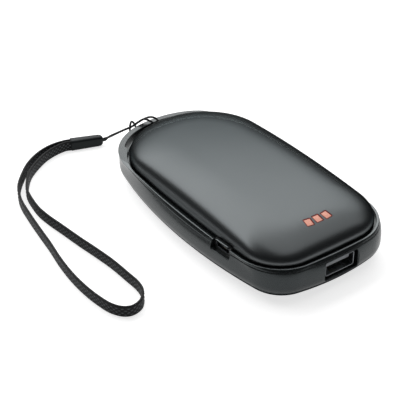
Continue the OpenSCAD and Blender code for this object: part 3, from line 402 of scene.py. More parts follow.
def spline(points, step):
    """A smooth line through points, cut into even steps."""
    p = np.array(points, float)
    p = np.vstack([2 * p[0] - p[1], p, 2 * p[-1] - p[-2]])
    out = []
    for i in range(1, len(p) - 2):
        gaps = [math.sqrt(max(1e-6, np.linalg.norm(p[i + k] - p[i + k - 1]))) for k in (0, 1, 2)]
        t0, t1 = 0.0, gaps[0]
        t2, t3 = t1 + gaps[1], t1 + gaps[1] + gaps[2]
        for t in np.linspace(t1, t2, 13)[:-1]:
            a1 = (t1 - t) / (t1 - t0) * p[i - 1] + (t - t0) / (t1 - t0) * p[i]
            a2 = (t2 - t) / (t2 - t1) * p[i] + (t - t1) / (t2 - t1) * p[i + 1]
            a3 = (t3 - t) / (t3 - t2) * p[i + 1] + (t - t2) / (t3 - t2) * p[i + 2]
            b1 = (t2 - t) / (t2 - t0) * a1 + (t - t0) / (t2 - t0) * a2
            b2 = (t3 - t) / (t3 - t1) * a2 + (t - t1) / (t3 - t1) * a3
            out.append((t2 - t) / (t2 - t1) * b1 + (t - t1) / (t2 - t1) * b2)
    out.append(p[-2])
    return resampled(np.array(out), step, closed=False)


def headings(path):
    """Unit directions along a path."""
    h = np.gradient(path, axis=0)
    return h / np.linalg.norm(h, axis=1)[:, None]


# Materials
def srgb(*rgb):
    """A colour from 8-bit values as a screen shows them."""
    return tuple(
        (c / 255 / 12.92 if c <= 10 else ((c / 255 + 0.055) / 1.055) ** 2.4) for c in rgb
    ) + (1.0,)


def noise(tree, scale, detail=3.0, stretch=None):
    """A noise texture on the object's own coordinates, in turns per metre."""
    nodes, links = tree.nodes, tree.links
    where = nodes.new("ShaderNodeTexCoord").outputs["Object"]
    n = nodes.new("ShaderNodeTexNoise")
    n.inputs["Scale"].default_value = scale
    n.inputs["Detail"].default_value = detail
    if stretch:
        m = nodes.new("ShaderNodeMapping")
        m.inputs["Scale"].default_value = stretch
        links.new(where, m.inputs["Vector"])
        where = m.outputs["Vector"]
    links.new(where, n.inputs["Vector"])
    return n


def ramp(tree, source, stops):
    """Colours between stops, led by a source from 0 to 1."""
    r = tree.nodes.new("ShaderNodeValToRGB")
    while len(r.color_ramp.elements) < len(stops):
        r.color_ramp.elements.new(0.5)
    for e, (at, colour) in zip(r.color_ramp.elements, stops):
        e.position, e.color = at, colour
    tree.links.new(source, r.inputs["Fac"])
    return r


def grey(v):
    return (v, v, v, 1.0)


def shade(colour, gain):
    return tuple(min(1.0, c * gain) for c in colour[:3]) + (1.0,)


def finish(
    name, colour, rough, spread=0.06, rough_spread=0.05, metallic=0.0, specular=0.5,
    grain=2500.0, bump=0.1, depth=0.00002, mottle=60.0, stretch=None, emission=0.0, sheen=0.0,
    edge_tint=None,
):
    """A surface with its own colour variation, roughness variation and fine grain."""
    mat = bpy.data.materials.new(name)
    mat.use_nodes = True
    tree = mat.node_tree
    shader = tree.nodes["Principled BSDF"]
    shader.inputs["Metallic"].default_value = metallic
    shader.inputs["Specular IOR Level"].default_value = specular
    if sheen:
        shader.inputs["Sheen Weight"].default_value = sheen
        shader.inputs["Sheen Roughness"].default_value = 0.4
    if edge_tint:
        shader.inputs["Specular Tint"].default_value = (*edge_tint, 1.0)
    wide = noise(tree, mottle, 4.0, stretch)
    fine = noise(tree, grain, 2.0, stretch)
    tint = ramp(tree, wide.outputs["Fac"], [
        (0.3, shade(colour, 1 - spread)), (0.7, shade(colour, 1 + spread)),
    ])
    tree.links.new(tint.outputs["Color"], shader.inputs["Base Color"])
    gloss = ramp(tree, fine.outputs["Fac"], [
        (0.3, grey(rough - rough_spread)), (0.7, grey(rough + rough_spread)),
    ])
    tree.links.new(gloss.outputs["Color"], shader.inputs["Roughness"])
    b = tree.nodes.new("ShaderNodeBump")
    b.inputs["Strength"].default_value = bump
    b.inputs["Distance"].default_value = depth
    tree.links.new(fine.outputs["Fac"], b.inputs["Height"])
    tree.links.new(b.outputs["Normal"], shader.inputs["Normal"])
    if emission:
        tree.links.new(tint.outputs["Color"], shader.inputs["Emission Color"])
        shader.inputs["Emission Strength"].default_value = emission
    return mat


def woven(name, low, high, rough=0.75):
    """Colours that follow the woven height kept on the mesh: darker where it lies low, lighter where it
    stands up.
    """
    mat = finish(name, low, rough, grain=9000.0, bump=0.35, depth=0.00003, specular=0.3, sheen=0.15)
    tree = mat.node_tree
    shader = tree.nodes["Principled BSDF"]
    height = tree.nodes.new("ShaderNodeAttribute")
    height.attribute_name = "weave"
    tint = ramp(tree, height.outputs["Fac"], [(0.15, low), (0.85, high)])
    fuzz = noise(tree, 4200.0, 2.0)
    mix = tree.nodes.new("ShaderNodeMix")
    mix.data_type, mix.blend_type = "RGBA", "MULTIPLY"
    mix.inputs["Factor"].default_value = 0.45
    tree.links.new(tint.outputs["Color"], mix.inputs["A"])
    tree.links.new(fuzz.outputs["Fac"], mix.inputs["B"])
    tree.links.new(mix.outputs["Result"], shader.inputs["Base Color"])
    return mat


COOL = (0.90, 1.0, 1.02)
cover_paint = finish(
    "cover_paint", srgb(86, 89, 90), 0.33, spread=0.03, rough_spread=0.015, metallic=1.0,
    grain=4200.0, bump=0.05, depth=0.00001, mottle=25.0, edge_tint=(0.09, 0.10, 0.10),
)
frame_plastic = finish(
    "frame_plastic", srgb(21, 23, 24), 0.28, spread=0.04, rough_spread=0.02,
    grain=2800.0, bump=0.05, depth=0.00001, mottle=30.0, edge_tint=COOL,
)
lip_plastic = finish(
    "lip_plastic", srgb(24, 26, 27), 0.22, spread=0.04, rough_spread=0.02, specular=0.85,
    grain=2800.0, bump=0.04, depth=0.00001, mottle=30.0, edge_tint=COOL,
)
bead_plastic = finish(
    "bead_plastic", srgb(22, 24, 25), 0.42, specular=0.18, grain=3000.0, edge_tint=COOL,
)
button_plastic = finish("button_plastic", srgb(21, 23, 24), 0.30, grain=3000.0, edge_tint=COOL)
steel = finish(
    "steel", srgb(126, 129, 132), 0.32, spread=0.05, metallic=1.0,
    grain=1500.0, mottle=400.0, stretch=(1.0, 0.08, 1.0),
)
# The input socket's shell: steel painted darker than the output's, as painted shade inside its small
# opening
shaded_steel = finish(
    "shaded_steel", srgb(66, 69, 72), 0.36, spread=0.05, metallic=1.0, grain=1500.0, mottle=500.0,
)
tongue_plastic = finish("tongue_plastic", srgb(185, 189, 192), 0.5, specular=0.4)
black_plastic = finish("black_plastic", srgb(15, 16, 17), 0.45, specular=0.3)
gold = finish("gold", srgb(214, 176, 92), 0.25, metallic=1.0, mottle=900.0)
glow = finish(
    "glow", srgb(190, 130, 112), 0.35, spread=0.10, mottle=1300.0, specular=0.3, emission=0.55,
)
glow_edge = finish(
    "glow_edge", srgb(112, 26, 26), 0.4, spread=0.15, mottle=900.0, specular=0.25, emission=0.15,
)
strap_weave = woven("strap_weave", srgb(19, 20, 22), srgb(120, 124, 127))
cord_weave = woven("cord_weave", srgb(12, 13, 14), srgb(34, 36, 38))
board_black = finish("board_black", srgb(17, 22, 20), 0.4, spread=0.25, mottle=700.0)
foil = finish(
    "foil", srgb(178, 182, 187), 0.3, metallic=0.85,
    mottle=120.0, grain=500.0, bump=0.3, depth=0.00005,
)
foam = finish(
    "foam", srgb(60, 62, 65), 0.9, spread=0.3,
    mottle=1500.0, grain=2200.0, bump=0.8, depth=0.0001,
)
film = finish("film", srgb(190, 118, 56), 0.35, spread=0.3, mottle=260.0, stretch=(0.2, 1.0, 1.0))
glue = finish("glue", srgb(18, 19, 20), 0.5, spread=0.1, mottle=500.0)
ferrite = finish("ferrite", srgb(74, 73, 71), 0.6, spread=0.2, mottle=1200.0)
ceramic = finish("ceramic", srgb(178, 140, 92), 0.5, spread=0.15, mottle=1200.0)
led_white = finish("led_white", srgb(252, 222, 184), 0.3, emission=0.3)
red_wire = finish("red_wire", srgb(176, 34, 28), 0.4)
black_wire = finish("black_wire", srgb(24, 25, 26), 0.4)
brown_wire = finish("brown_wire", srgb(120, 48, 42), 0.4)
tab_metal = finish("tab_metal", srgb(194, 180, 142), 0.3, metallic=1.0, mottle=600.0)

NODE_FINISH = {
    "top_adhesive": glue, "bottom_adhesive": glue, "light_pipe": glow,
    "switch_body": steel, "switch_plunger": black_plastic,
    "usb_a_contacts": gold, "micro_usb_contacts": gold,
    "main_pcb": board_black, "pcb_screws": steel, "power_chip": black_plastic,
    "control_chip": black_plastic, "inductor": ferrite, "capacitors": ceramic,
    "status_leds": led_white, "lower_cell": foil, "upper_cell": foil, "cell_tabs": tab_metal,
    "lower_foam": foam, "upper_foam": foam, "top_heater": film, "bottom_heater": film,
    "thermistor": black_plastic, "battery_lead_red": red_wire,
    "battery_lead_black": black_wire, "heater_leads": brown_wire,
    "top_cover": cover_paint, "mid_frame": frame_plastic, "bottom_cover": cover_paint,
    "power_button": button_plastic, "usb_a_shell": steel, "usb_a_tongue": tongue_plastic,
    "micro_usb_shell": shaded_steel, "micro_usb_tongue": black_plastic,
    "strap_cord": cord_weave, "strap_bead": bead_plastic, "wrist_strap": strap_weave,
}
for node_name, mat in NODE_FINISH.items():
    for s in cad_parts[node_name].material_slots:
        s.material = mat


def piece(obj, body, slot, *nodes):
    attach(obj, body)
    if nodes:
        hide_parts(*nodes)
    return obj


# Camera
cam_data = bpy.data.cameras.new("camera")
cam_data.sensor_width = 36.0
cam_data.lens = 103.3
cam_data.clip_start = 0.01
camera = placed("camera", cam_data)
camera.location = Vector((-225.2, -284.8, 249.9)) * MM
look_at = Vector((-7.64, 14.43, 0)) * MM
camera.rotation_euler = (look_at - camera.location).to_track_quat("-Z", "Y").to_euler()
bpy.context.scene.camera = camera


# Bead and cords
turn = math.radians(BEAD_TURN)
bead_axis = np.array([math.cos(turn), math.sin(turn)])
bead_side = np.array([-bead_axis[1], bead_axis[0]])


def bead_ring(at, w, h, z_mid, r):
    """The bead's section at a distance from the end that holds the band."""
    flat = rounded_rect(w, h, r, 6)
    mid = np.array(BEAD_END) + bead_axis * at
    plan = mid + flat[:, :1] * bead_side
    return np.column_stack([plan, z_mid + flat[:, 1]])


def bead_size(at):
    """Width and height of the bead, which change towards the cord."""
    share = at / BEAD_L
    w = BEAD_W + (BEAD_CORD_W - BEAD_W) * share
    h = BEAD_H + (BEAD_CORD_H - BEAD_H) * share**1.3
    return w, h


# Distance along the bead, and how far its rounded ends draw in there
BEAD_ENDS = (
    (0, 0.35), (0.08, 0.12), (0.3, 0.0), (1.0, 0.0), (3.5, 0.0), (6.5, 0.0), (9.5, 0.0),
    (11.6, 0.0), (12.4, 0.06), (12.9, 0.18), (13.3, 0.4), (13.6, 0.72), (13.75, 1.0), (13.8, 1.25),
)
BEAD_EDGE_R = 0.95
bead_rings = []
for at, inset in BEAD_ENDS:
    w, full_h = bead_size(at)
    w, h = w - 2 * inset, full_h - 2 * inset
    edge_r = min(BEAD_EDGE_R, w / 2 - 0.05, h / 2 - 0.05)
    bead_rings.append(bead_ring(at, w, h, full_h / 2, edge_r))
bead = loft("strap_clamp", bead_rings, 50, [bead_plastic])
piece(bead, "casing", "bead_plastic", "strap_bead")

# Both ends of the cord and of the band run on into the bead
cord_into = CORD_TUCK * np.append(-bead_axis, 0.0)
cord_points = [
    np.array(CORD_ROUTE[0]) + cord_into, *CORD_ROUTE, np.array(CORD_ROUTE[-1]) + cord_into,
]
cord_path = spline(cord_points, 0.22)


def cord_mesh(name, path, d, sides, lay_length, strands, groove, mat):
    """A braided round cord: two families of strands cross over each other."""
    heads = headings(path)
    across = np.cross(heads[0], (0, 0, 1.0))
    across /= np.linalg.norm(across)
    at = distances(path)
    rings, heights = [], []
    for i, (p, h) in enumerate(zip(path, heads)):
        across = across - h * np.dot(across, h)
        across /= np.linalg.norm(across)
        up = np.cross(h, across)
        a = np.linspace(0, 2 * math.pi, sides, endpoint=False)
        twist = 2 * math.pi * at[i] / lay_length
        one = np.cos(strands * a + twist)
        two = np.cos(strands * a - twist)
        height = np.clip(0.5 + 0.5 * np.maximum(one, two), 0, 1)
        r = d / 2 - groove * (1 - height)
        rings.append(p + r[:, None] * (np.cos(a)[:, None] * across + np.sin(a)[:, None] * up))
        heights.append(height)
    obj = loft(name, rings, 80, [mat])
    keep_heights(obj, heights)
    return obj


def keep_heights(obj, heights):
    """Stores the weave's height on every point; the colours follow it, darker low and lighter high."""
    flat = np.concatenate([np.ravel(heights), [0.5, 0.5]])
    layer = obj.data.attributes.new("weave", "FLOAT", "POINT")
    layer.data.foreach_set("value", flat[: len(obj.data.vertices)].astype(np.float32))


cord = cord_mesh(
    "thin_cord", cord_path, CORD_SEEN_D, sides=14, lay_length=1.6, strands=3, groove=0.04,
    mat=cord_weave,
)
piece(cord, "casing", "thin_cord", "strap_cord")

band_into = bead_axis * BAND_TUCK
band_points = [
    np.array(STRAP_ROUTE[0]) + band_into, *STRAP_ROUTE, np.array(STRAP_ROUTE[-1]) + band_into,
]
band_path = spline(band_points, 0.29)
WEAVE_ROWS, WEAVE_PITCH, WEAVE_DEPTH = 4, 2.0, 0.2
EDGE_W, EDGE_SHRINK = 0.6, 0.96


def band_section():
    """Across the band: (side, height, row position from 0, or -1 on the plain edge)."""
    face = np.linspace(-STRAP_W / 2 + EDGE_W, STRAP_W / 2 - EDGE_W, 3 * WEAVE_ROWS + 1)
    rows = np.linspace(0, WEAVE_ROWS, len(face))
    right = [(STRAP_T / 2, z, r) for z, r in zip(face, rows)]
    left = [(-STRAP_T / 2, z, r) for z, r in zip(face[::-1], rows[::-1])]
    a = np.radians([60, 25, -25, -60])
    top = [(STRAP_T / 2 * math.sin(t), STRAP_W / 2 - EDGE_W * (1 - math.cos(t)), -1) for t in a]
    low = [(-STRAP_T / 2 * math.sin(t), EDGE_W * (1 - math.cos(t)) - STRAP_W / 2, -1) for t in a]
    return right + top + left + low


def band_mesh(name, path, mat):
    """A woven band on its edge; every second row of stitches lies half a pitch further on."""
    heads = headings(path)
    at = distances(path)
    section = band_section()
    rings, heights = [], []
    for p, h, s in zip(path, heads, at):
        side = np.array([h[1], -h[0]])
        ring, height = [], []
        for across, z, row in section:
            if row < 0:
                rise = 0.12 + 0.08 * math.cos(2 * math.pi * s / (WEAVE_PITCH / 2))
                out = across * EDGE_SHRINK
            else:
                index = min(WEAVE_ROWS - 1, int(row))
                shift = 0.5 * (index % 2)
                far_side = 0.25 if across < 0 else 0
                phase = 2 * math.pi * (s / WEAVE_PITCH + shift + far_side)
                rise = math.sin(math.pi * (row - index)) * (0.5 + 0.5 * math.cos(phase)) ** 1.5
                out = across - math.copysign(WEAVE_DEPTH * (1 - rise), across)
            ring.append((*(p + side * out), z + STRAP_W / 2))
            height.append(rise)
        rings.append(ring)
        heights.append(height)
    obj = loft(name, rings, 80, [mat])
    keep_heights(obj, heights)
    return obj


band = band_mesh("woven_band", band_path, strap_weave)
piece(band, "casing", "woven_strap", "wrist_strap")


# Top cover

# Its lower edge: how far in from its outline, and the height
COVER_EDGE = ((COVER_T, 12.98), (0.14, 12.95), (0.04, 12.99), (0.0, 13.09), (0.0, 13.4))
cover_rings = (
    [crown(s, COVER_T) for s in (0.08, 0.25, 0.45, 0.65, 0.85)]
    + [shoulder(a, COVER_T) for a in np.linspace(90, 0, 12)]
    + [at_z(outline(cover, inset), z) for inset, z in COVER_EDGE]
    + [shoulder(a) for a in np.linspace(0, 90, 56)]
    + [crown(s) for s in np.linspace(0.95, 0.05, 19)]
)
top = loft("cover_top", cover_rings, 40, [cover_paint])


def light_contour(i, grow):
    """A light's outline, grown on all sides; i is -1, 0 or 1 from the left."""
    a = math.radians(i * LIGHT_FAN)
    p = rounded_rect(LIGHT_L + 2 * grow, LIGHT_W + 2 * grow, max(0.12, LIGHT_R + grow), 6)
    spin = np.array([[math.cos(a), math.sin(a)], [-math.sin(a), math.cos(a)]])
    return p @ spin + np.array([LIGHT_X + i * LIGHT_PITCH, LIGHT_Y])


for i in (-1, 0, 1):
    hole = light_contour(i, LIGHT_GAP)
    cut(top, loft("hole", [at_z(hole, RIM_Z), at_z(hole, BODY_H + 2)], ends="face"))
tidy(top, 40, 0.004)
piece(top, "casing", "cover_paint", "top_cover")


def front_line(angle):
    """The front half of a shoulder ring, from left to right."""
    line = shoulder(angle)
    line = line[line[:, 1] < COVER_MID_Y]
    return line[np.argsort(line[:, 0])]


front_lines = [front_line(a) for a in np.linspace(20, 90, 60)]


def on_cover(points, sink):
    """Flat points near the lights laid on the cover's skin, sunk by some depth."""
    laid = []
    for x, y in points:
        ys = np.array([np.interp(x, line[:, 0], line[:, 1]) for line in front_lines])
        zs = np.array([np.interp(x, line[:, 0], line[:, 2]) for line in front_lines])
        z = np.interp(y, ys, zs) if y < ys.max() else crown_z(x, y)
        laid.append((x, y, z - sink))
    return np.array(laid)


WINDOW_SINK, SLEEVE_T, PLATE_T = 0.2, 0.27, 0.6
# From the plate up the dark sleeve and in over the lit window: growth, and depth below the skin
WINDOW_RINGS = (
    (0.0, 1.4), (0.0, 0.05), (-0.03, 0.02), (0.02 - SLEEVE_T, 0.02), (-SLEEVE_T, 0.05),
    (-SLEEVE_T, WINDOW_SINK), (-SLEEVE_T - 0.1, WINDOW_SINK - 0.04), (-0.8, WINDOW_SINK - 0.08),
)
SLEEVE_RINGS = 5
PIPE_LOW, PIPE_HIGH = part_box("light_pipe")
window_points, window_faces, window_mats = [], [], []
for i in (-1, 0, 1):
    rows = [on_cover(light_contour(i, grow), sink) for grow, sink in WINDOW_RINGS]
    rows[0][:, 2] = PIPE_LOW[2] / MM + PLATE_T / 2
    first = len(window_points)
    count = len(rows[0])
    window_points += [p for r in rows for p in r]
    quads = ring_quads(len(rows), count)
    window_faces += [tuple(first + k for k in q) for q in quads]
    window_mats += [1 if n < SLEEVE_RINGS * count else 0 for n in range(len(quads))]
    top_first = first + (len(rows) - 1) * count
    window_faces.append(tuple(range(top_first, top_first + count)))
    window_faces.append(tuple(range(first, first + count))[::-1])
    window_mats += [0, 1]
windows = new_mesh("light_windows", window_points, window_faces, 50, [glow, glow_edge])
for f, m in zip(windows.data.polygons, window_mats):
    f.material_index = m
pipe_size, pipe_mid = (PIPE_HIGH - PIPE_LOW) / MM, (PIPE_HIGH + PIPE_LOW) / 2 / MM
pipe_plate = rounded_rect(*pipe_size[:2], 0.6, 5) + pipe_mid[:2]
plate_rings = [at_z(pipe_plate, PIPE_LOW[2] / MM + rise) for rise in (0, PLATE_T)]
join(windows, loft("light_plate", plate_rings, 50, [glow, glow_edge], "face"))
tidy(windows, 50)
piece(windows, "casing", "light_window", "light_pipe")


# Bottom cover
part_top = PART_Z - ADHESIVE_T
outer_end = math.degrees(underside_angle(part_top))
inner_end = math.degrees(underside_angle(part_top, COVER_T))


def bottom_ring(angle, skin=0.0, extra=0.0):
    a = math.radians(angle)
    z = BELLY_Z - (BELLY_Z - skin) * math.sin(a)
    return at_z(outline(base, skin + underside_inset(a) + extra), z)


bottom_rings = (
    [at_z(outline(base, UNDERSIDE_DRAW + 4), 0.0)]
    + [bottom_ring(a) for a in np.linspace(90, outer_end + 1.2, 22)]
    + [bottom_ring(outer_end + 0.3, 0, 0.05), bottom_ring(outer_end, 0, 0.16)]
    + [bottom_ring(a, COVER_T) for a in np.linspace(inner_end, 90, 12)]
)
bottom = loft("cover_bottom", bottom_rings, 40, [cover_paint])
piece(bottom, "casing", "cover_paint", "bottom_cover")


# Frame
def lip_inside(out):
    """The lip's inner edge, beside the cover."""
    return outline(cover, -COVER_GAP - out)


def wall_rings():
    """From the parting line up the wall, over the groove and the lip, and down inside to the ledge."""
    rings = [at_z(underside_line(PART_Z, 0.18), PART_Z)]
    rings.append(at_z(underside_line(PART_Z + 0.06, 0.05), PART_Z + 0.05))
    rings += [at_z(underside_line(z), z) for z in (PART_Z + 0.18, 5.1, 5.6, 6.1, 6.5)]
    groove_low = RIM_Z - LIP_H - GROOVE_H
    rings += [wall(z) for z in np.append(np.linspace(BELLY_Z, groove_low - 0.3, 9), groove_low - 0.14)]
    rings += [wall(groove_low - 0.05, 0.03), wall(groove_low, 0.12), wall(groove_low + 0.02, GROOVE_D)]
    lip_low = RIM_Z - LIP_H
    rings += [wall(lip_low - 0.02, GROOVE_D), wall(lip_low, 0.08), wall(lip_low + 0.06, 0.0)]
    for z, inset in ((RIM_Z - 0.2, 0.0), (RIM_Z - 0.08, 0.05), (RIM_Z - 0.02, 0.12), (RIM_Z, 0.2)):
        rings.append(wall(z, inset))
    for drop, inset in ((0.0, 0.15), (0.02, 0.08), (0.07, 0.02), (0.2, 0.0)):
        rings.append(dipped(at_z(lip_inside(inset), RIM_Z - drop)))
    rings += [at_z(lip_inside(0.0), LEDGE_Z), at_z(outline(cover, LEDGE_W), LEDGE_Z)]
    rings.append(at_z(outline(cover, LEDGE_W), PART_Z))
    return rings


def hump(points):
    """Raises the lip over the input socket, from nothing at its lower edge to all 0.5 mm up."""
    for p in points:
        low = RIM_Z - LIP_H - rim_dip(p[0], p[1])
        if p[0] < -20 and p[2] > low + 0.1:
            lift = eased(1 - (abs(p[1] - MICRO_Y) - HUMP_HALF) / HUMP_RAMP)
            p[2] += HUMP_H * lift * min(1.0, (p[2] - low) / 0.5)
    return points


def denser(ring):
    """Adds points along the stretch where the lip rises over the input socket."""
    out = []
    for k, p in enumerate(ring):
        q = ring[(k + 1) % len(ring)]
        out.append(p)
        if k in DENSE:
            out += [p + (q - p) * t for t in (0.2, 0.4, 0.6, 0.8)]
    return np.array(out)


DENSE_REACH = HUMP_HALF + HUMP_RAMP + 2.5
DENSE = {k for k, p in enumerate(outline(rim)) if p[0] < 0 and abs(p[1] - MICRO_Y) < DENSE_REACH}
case = loft("frame_shell", [hump(denser(r)) for r in wall_rings()], 32, [frame_plastic], "wrap")

# The slot, with its bar side rounded over at the top and bottom
LINE_STEP = 0.4
bar_line = resampled(outline(rim, BAR_SEEN_W), LINE_STEP)
cover_line = resampled(outline(cover), LINE_STEP)


def back_stretch(line, half):
    """The back part of a line, from left to right."""
    keep = line[(line[:, 1] > 20) & (np.abs(line[:, 0]) <= half)]
    return keep[np.argsort(keep[:, 0])]


def rounded_corner(a, corner, b, r, steps=6):
    """A fillet between two directions that meet at a corner."""
    u = (a - corner) / np.linalg.norm(a - corner)
    v = (b - corner) / np.linalg.norm(b - corner)
    p, q = corner + u * r, corner + v * r
    t = np.linspace(0, 1, steps + 1)[:, None]
    return (1 - t) ** 2 * p + 2 * t * (1 - t) * corner + t**2 * q


def slot_contour():
    """Counter-clockwise from the cover side; the flags are 1 on the bar side and 0 on the cover's."""
    near = back_stretch(cover_line, SLOT_HALF)
    far = back_stretch(bar_line, SLOT_HALF)[::-1]
    keep_near = near[np.abs(near[:, 0]) < SLOT_HALF - SLOT_R]
    keep_far = far[np.abs(far[:, 0]) < SLOT_HALF - SLOT_R]
    right_near, right_far = near[-1], far[0]
    left_near, left_far = near[0], far[-1]
    rn = rounded_corner(keep_near[-1], right_near, right_far, SLOT_R)
    rf = rounded_corner(right_near, right_far, keep_far[0], SLOT_R)
    lf = rounded_corner(keep_far[-1], left_far, left_near, SLOT_R)
    ln = rounded_corner(left_far, left_near, keep_near[0], SLOT_R)
    points = np.concatenate([keep_near, rn, rf, keep_far, lf, ln])
    bar_count = len(rf) + len(keep_far) + len(lf)
    flags = np.concatenate([
        np.zeros(len(keep_near)), np.linspace(0, 1, len(rn)), np.ones(bar_count),
        np.linspace(1, 0, len(ln)),
    ])
    return points, flags


slot_points, slot_flags = slot_contour()
slot_out = outward(slot_points)


def slot_ring(z, grow):
    return at_z(slot_points + slot_out * (grow * slot_flags)[:, None], z)


EDGE, SLOT_FLARE = 0.28, 1.2
turns = [math.radians(a) for a in (0, 20, 40, 58, 72)]
flare = [(EDGE * (1 - math.cos(t)), EDGE * math.sin(t)) for t in turns]
slot_rings = [slot_ring(PART_Z - 2, SLOT_FLARE)]
slot_rings += [slot_ring(PART_Z + EDGE - rise, grow) for grow, rise in flare[::-1]]
slot_rings += [slot_ring(RIM_Z - EDGE + rise, grow) for grow, rise in flare]
slot_rings += [slot_ring(RIM_Z + 2, SLOT_FLARE)]
cut(case, loft("slot_cut", slot_rings, ends="face"))


def surface_depth(line_z, across, axis):
    """How far out the wall lies at a height: along -Y for axis 1, along -X for axis 0."""
    if line_z >= BELLY_Z:
        ring = wall(line_z)
    else:
        ring = at_z(underside_line(max(PART_Z, line_z)), line_z)
    front = ring[:, 1] < -40
    left = (ring[:, 0] < 0) & (np.abs(ring[:, 1]) < 45)
    part = ring[front if axis == 1 else left]
    part = part[np.argsort(part[:, 1 - axis])]
    return float(np.interp(across, part[:, 1 - axis], part[:, axis]))


def opening_cut(contour, axis, edge, deep, sign=-1.0):
    """A cutter from outside the wall inwards whose mouth is rounded over by edge; sign is the side."""
    normal = outward(contour)
    mouth = edge * 1.15
    profile = [(0.0, deep), (0.0, edge), *rounding(edge, (20, 40, 58, 72))]
    profile += [(mouth, -0.6), (mouth, -3.0)]
    rings = []
    for grow, depth in profile:
        ring = []
        for u, z in contour + normal * grow:
            reach = surface_depth(min(z, RIM_Z), u, axis) + depth
            ring.append((u, reach, z) if axis == 1 else (-sign * reach, u, z))
        rings.append(np.array(ring))
    return loft("opening", rings, ends="face")


usb_contour = rounded_rect(USB_OPEN_W, USB_OPEN_H, USB_OPEN_R, 8) + np.array([USB_X, USB_Z])
cut(case, opening_cut(usb_contour, axis=1, edge=0.42, deep=6.0))
micro_contour = rounded_rect(*MICRO_OPEN, 8) + np.array([MICRO_Y, MICRO_Z - MICRO_OPEN_DROP])
cut(case, opening_cut(micro_contour, axis=0, edge=0.28, deep=8.0))
button_contour = rounded_rect(
    BUTTON_L + 2 * BUTTON_GAP, BUTTON_H + 2 * BUTTON_GAP, BUTTON_H / 2 + BUTTON_GAP - 0.01, 10
) + np.array([BUTTON_Y, BUTTON_Z])
cut(case, opening_cut(button_contour, axis=0, edge=0.2, deep=8.0, sign=1.0))
tidy(case, 32, 0.004)

# The thin lip that closes the slot on the cover's side: distance from the cover's outline, and height
LIP_PROFILE = (
    (0.4, 11.5), (0.95, 11.5), (0.95, 13.85), (0.9, 13.95),
    (0.8, 14.0), (0.55, 14.0), (0.45, 13.95), (0.4, 13.85),
)
lip_line = back_stretch(cover_line, SLOT_HALF + 0.6)
lip_step = headings(lip_line)
lip_out = np.column_stack([-lip_step[:, 1], lip_step[:, 0]])
lip_rings = [
    np.array([(*(p + o * away), z) for away, z in LIP_PROFILE]) for p, o in zip(lip_line, lip_out)
]
join(case, loft("slot_lip", lip_rings, 50, [frame_plastic], "face"))
tidy(case, 32)

# The lip's top is glossier than the rest, as far back as the strap bar
LIP_FINISH_LOW, LIP_FINISH_BACK = RIM_Z - 1.0, 36
case.data.materials.append(lip_plastic)
for f in case.data.polygons:
    on_top = f.center.z > LIP_FINISH_LOW * MM and f.normal.z > 0.8
    if on_top and f.center.y < LIP_FINISH_BACK * MM:
        f.material_index = 1
piece(case, "casing", "frame_plastic", "mid_frame")


# Charging output
def tube_along(name, outer_c, inner_c, length, place, mats, lip=0.1):
    """A socket's shell: rounded mouth, closed back; place maps (u, z, depth) to a point."""
    def section(contour, depth, grow=0.0):
        mid = contour.mean(axis=0)
        size = contour.max(axis=0) - contour.min(axis=0)
        scaled = mid + (contour - mid) * (1 + 2 * grow / size)
        return np.array([place(u, z, depth) for u, z in scaled])

    wall_t = outer_c.max() - inner_c.max()
    rings = [
        section(inner_c, length - wall_t), section(inner_c, lip * 1.6),
        section(inner_c, lip * 0.5, lip * 0.3), section(inner_c, 0.0, lip * 0.9),
        section(outer_c, 0.0, -lip * 0.6), section(outer_c, lip * 0.5, -lip * 0.1),
        section(outer_c, lip * 1.4), section(outer_c, length),
    ]
    return loft(name, rings, 40, mats)


def usb_place(u, z, depth):
    return (USB_X + u, USB_Y + USB_SINK + depth, USB_Z + z)


shell_outer = rounded_rect(*USB_SHELL, 8)
shell_inner = rounded_rect(*USB_INSIDE, 8)
shell = tube_along("output_shell", shell_outer, shell_inner, USB_L, usb_place, [steel])

# Four springs inside the shell: depth in the socket, and how far they stand off its wall
SPRING_X, SPRING_T = 3.1, 0.12
SPRING_LINE = ((1.6, 0.02), (3.0, 0.25), (4.4, 0.5), (5.4, 0.55), (6.4, 0.42), (7.4, 0.3))
springs = []
for sx, sz in ((-SPRING_X, -1), (SPRING_X, -1), (-SPRING_X, 1), (SPRING_X, 1)):
    rows = []
    for depth, lift in SPRING_LINE:
        z = sz * (USB_HALF_H - lift)
        far_z = z + sz * SPRING_T
        half = 0.85 if depth < 6 else 0.7
        rows.append(np.array([
            usb_place(sx - half, z, depth), usb_place(sx + half, z, depth),
            usb_place(sx + half, far_z, depth), usb_place(sx - half, far_z, depth),
        ]))
    springs.append(loft("spring", rows, 50, [steel], "face"))
join(shell, *springs)
tidy(shell, 40)
piece(shell, "casing", "plated_steel", "usb_a_shell")


def rounded_box(name, low, high, r, mats):
    """A block with rounded edges."""
    low, high = np.array(low, float), np.array(high, float)
    size, mid = high - low, (high + low) / 2
    rings = []
    for a in (90, 60, 30, 0):
        t = math.radians(a)
        shrink = r * (1 - math.cos(t))
        flat = rounded_rect(size[0] - 2 * shrink, size[2] - 2 * shrink, max(0.02, r - shrink * 0.6), 4)
        y = low[1] + r * (1 - math.sin(t))
        rings.append(np.column_stack([mid[0] + flat[:, 0], np.full(len(flat), y), mid[2] + flat[:, 1]]))
    back = rings[-1].copy()
    back[:, 1] = high[1]
    return loft(name, rings + [back], 50, mats, "face")


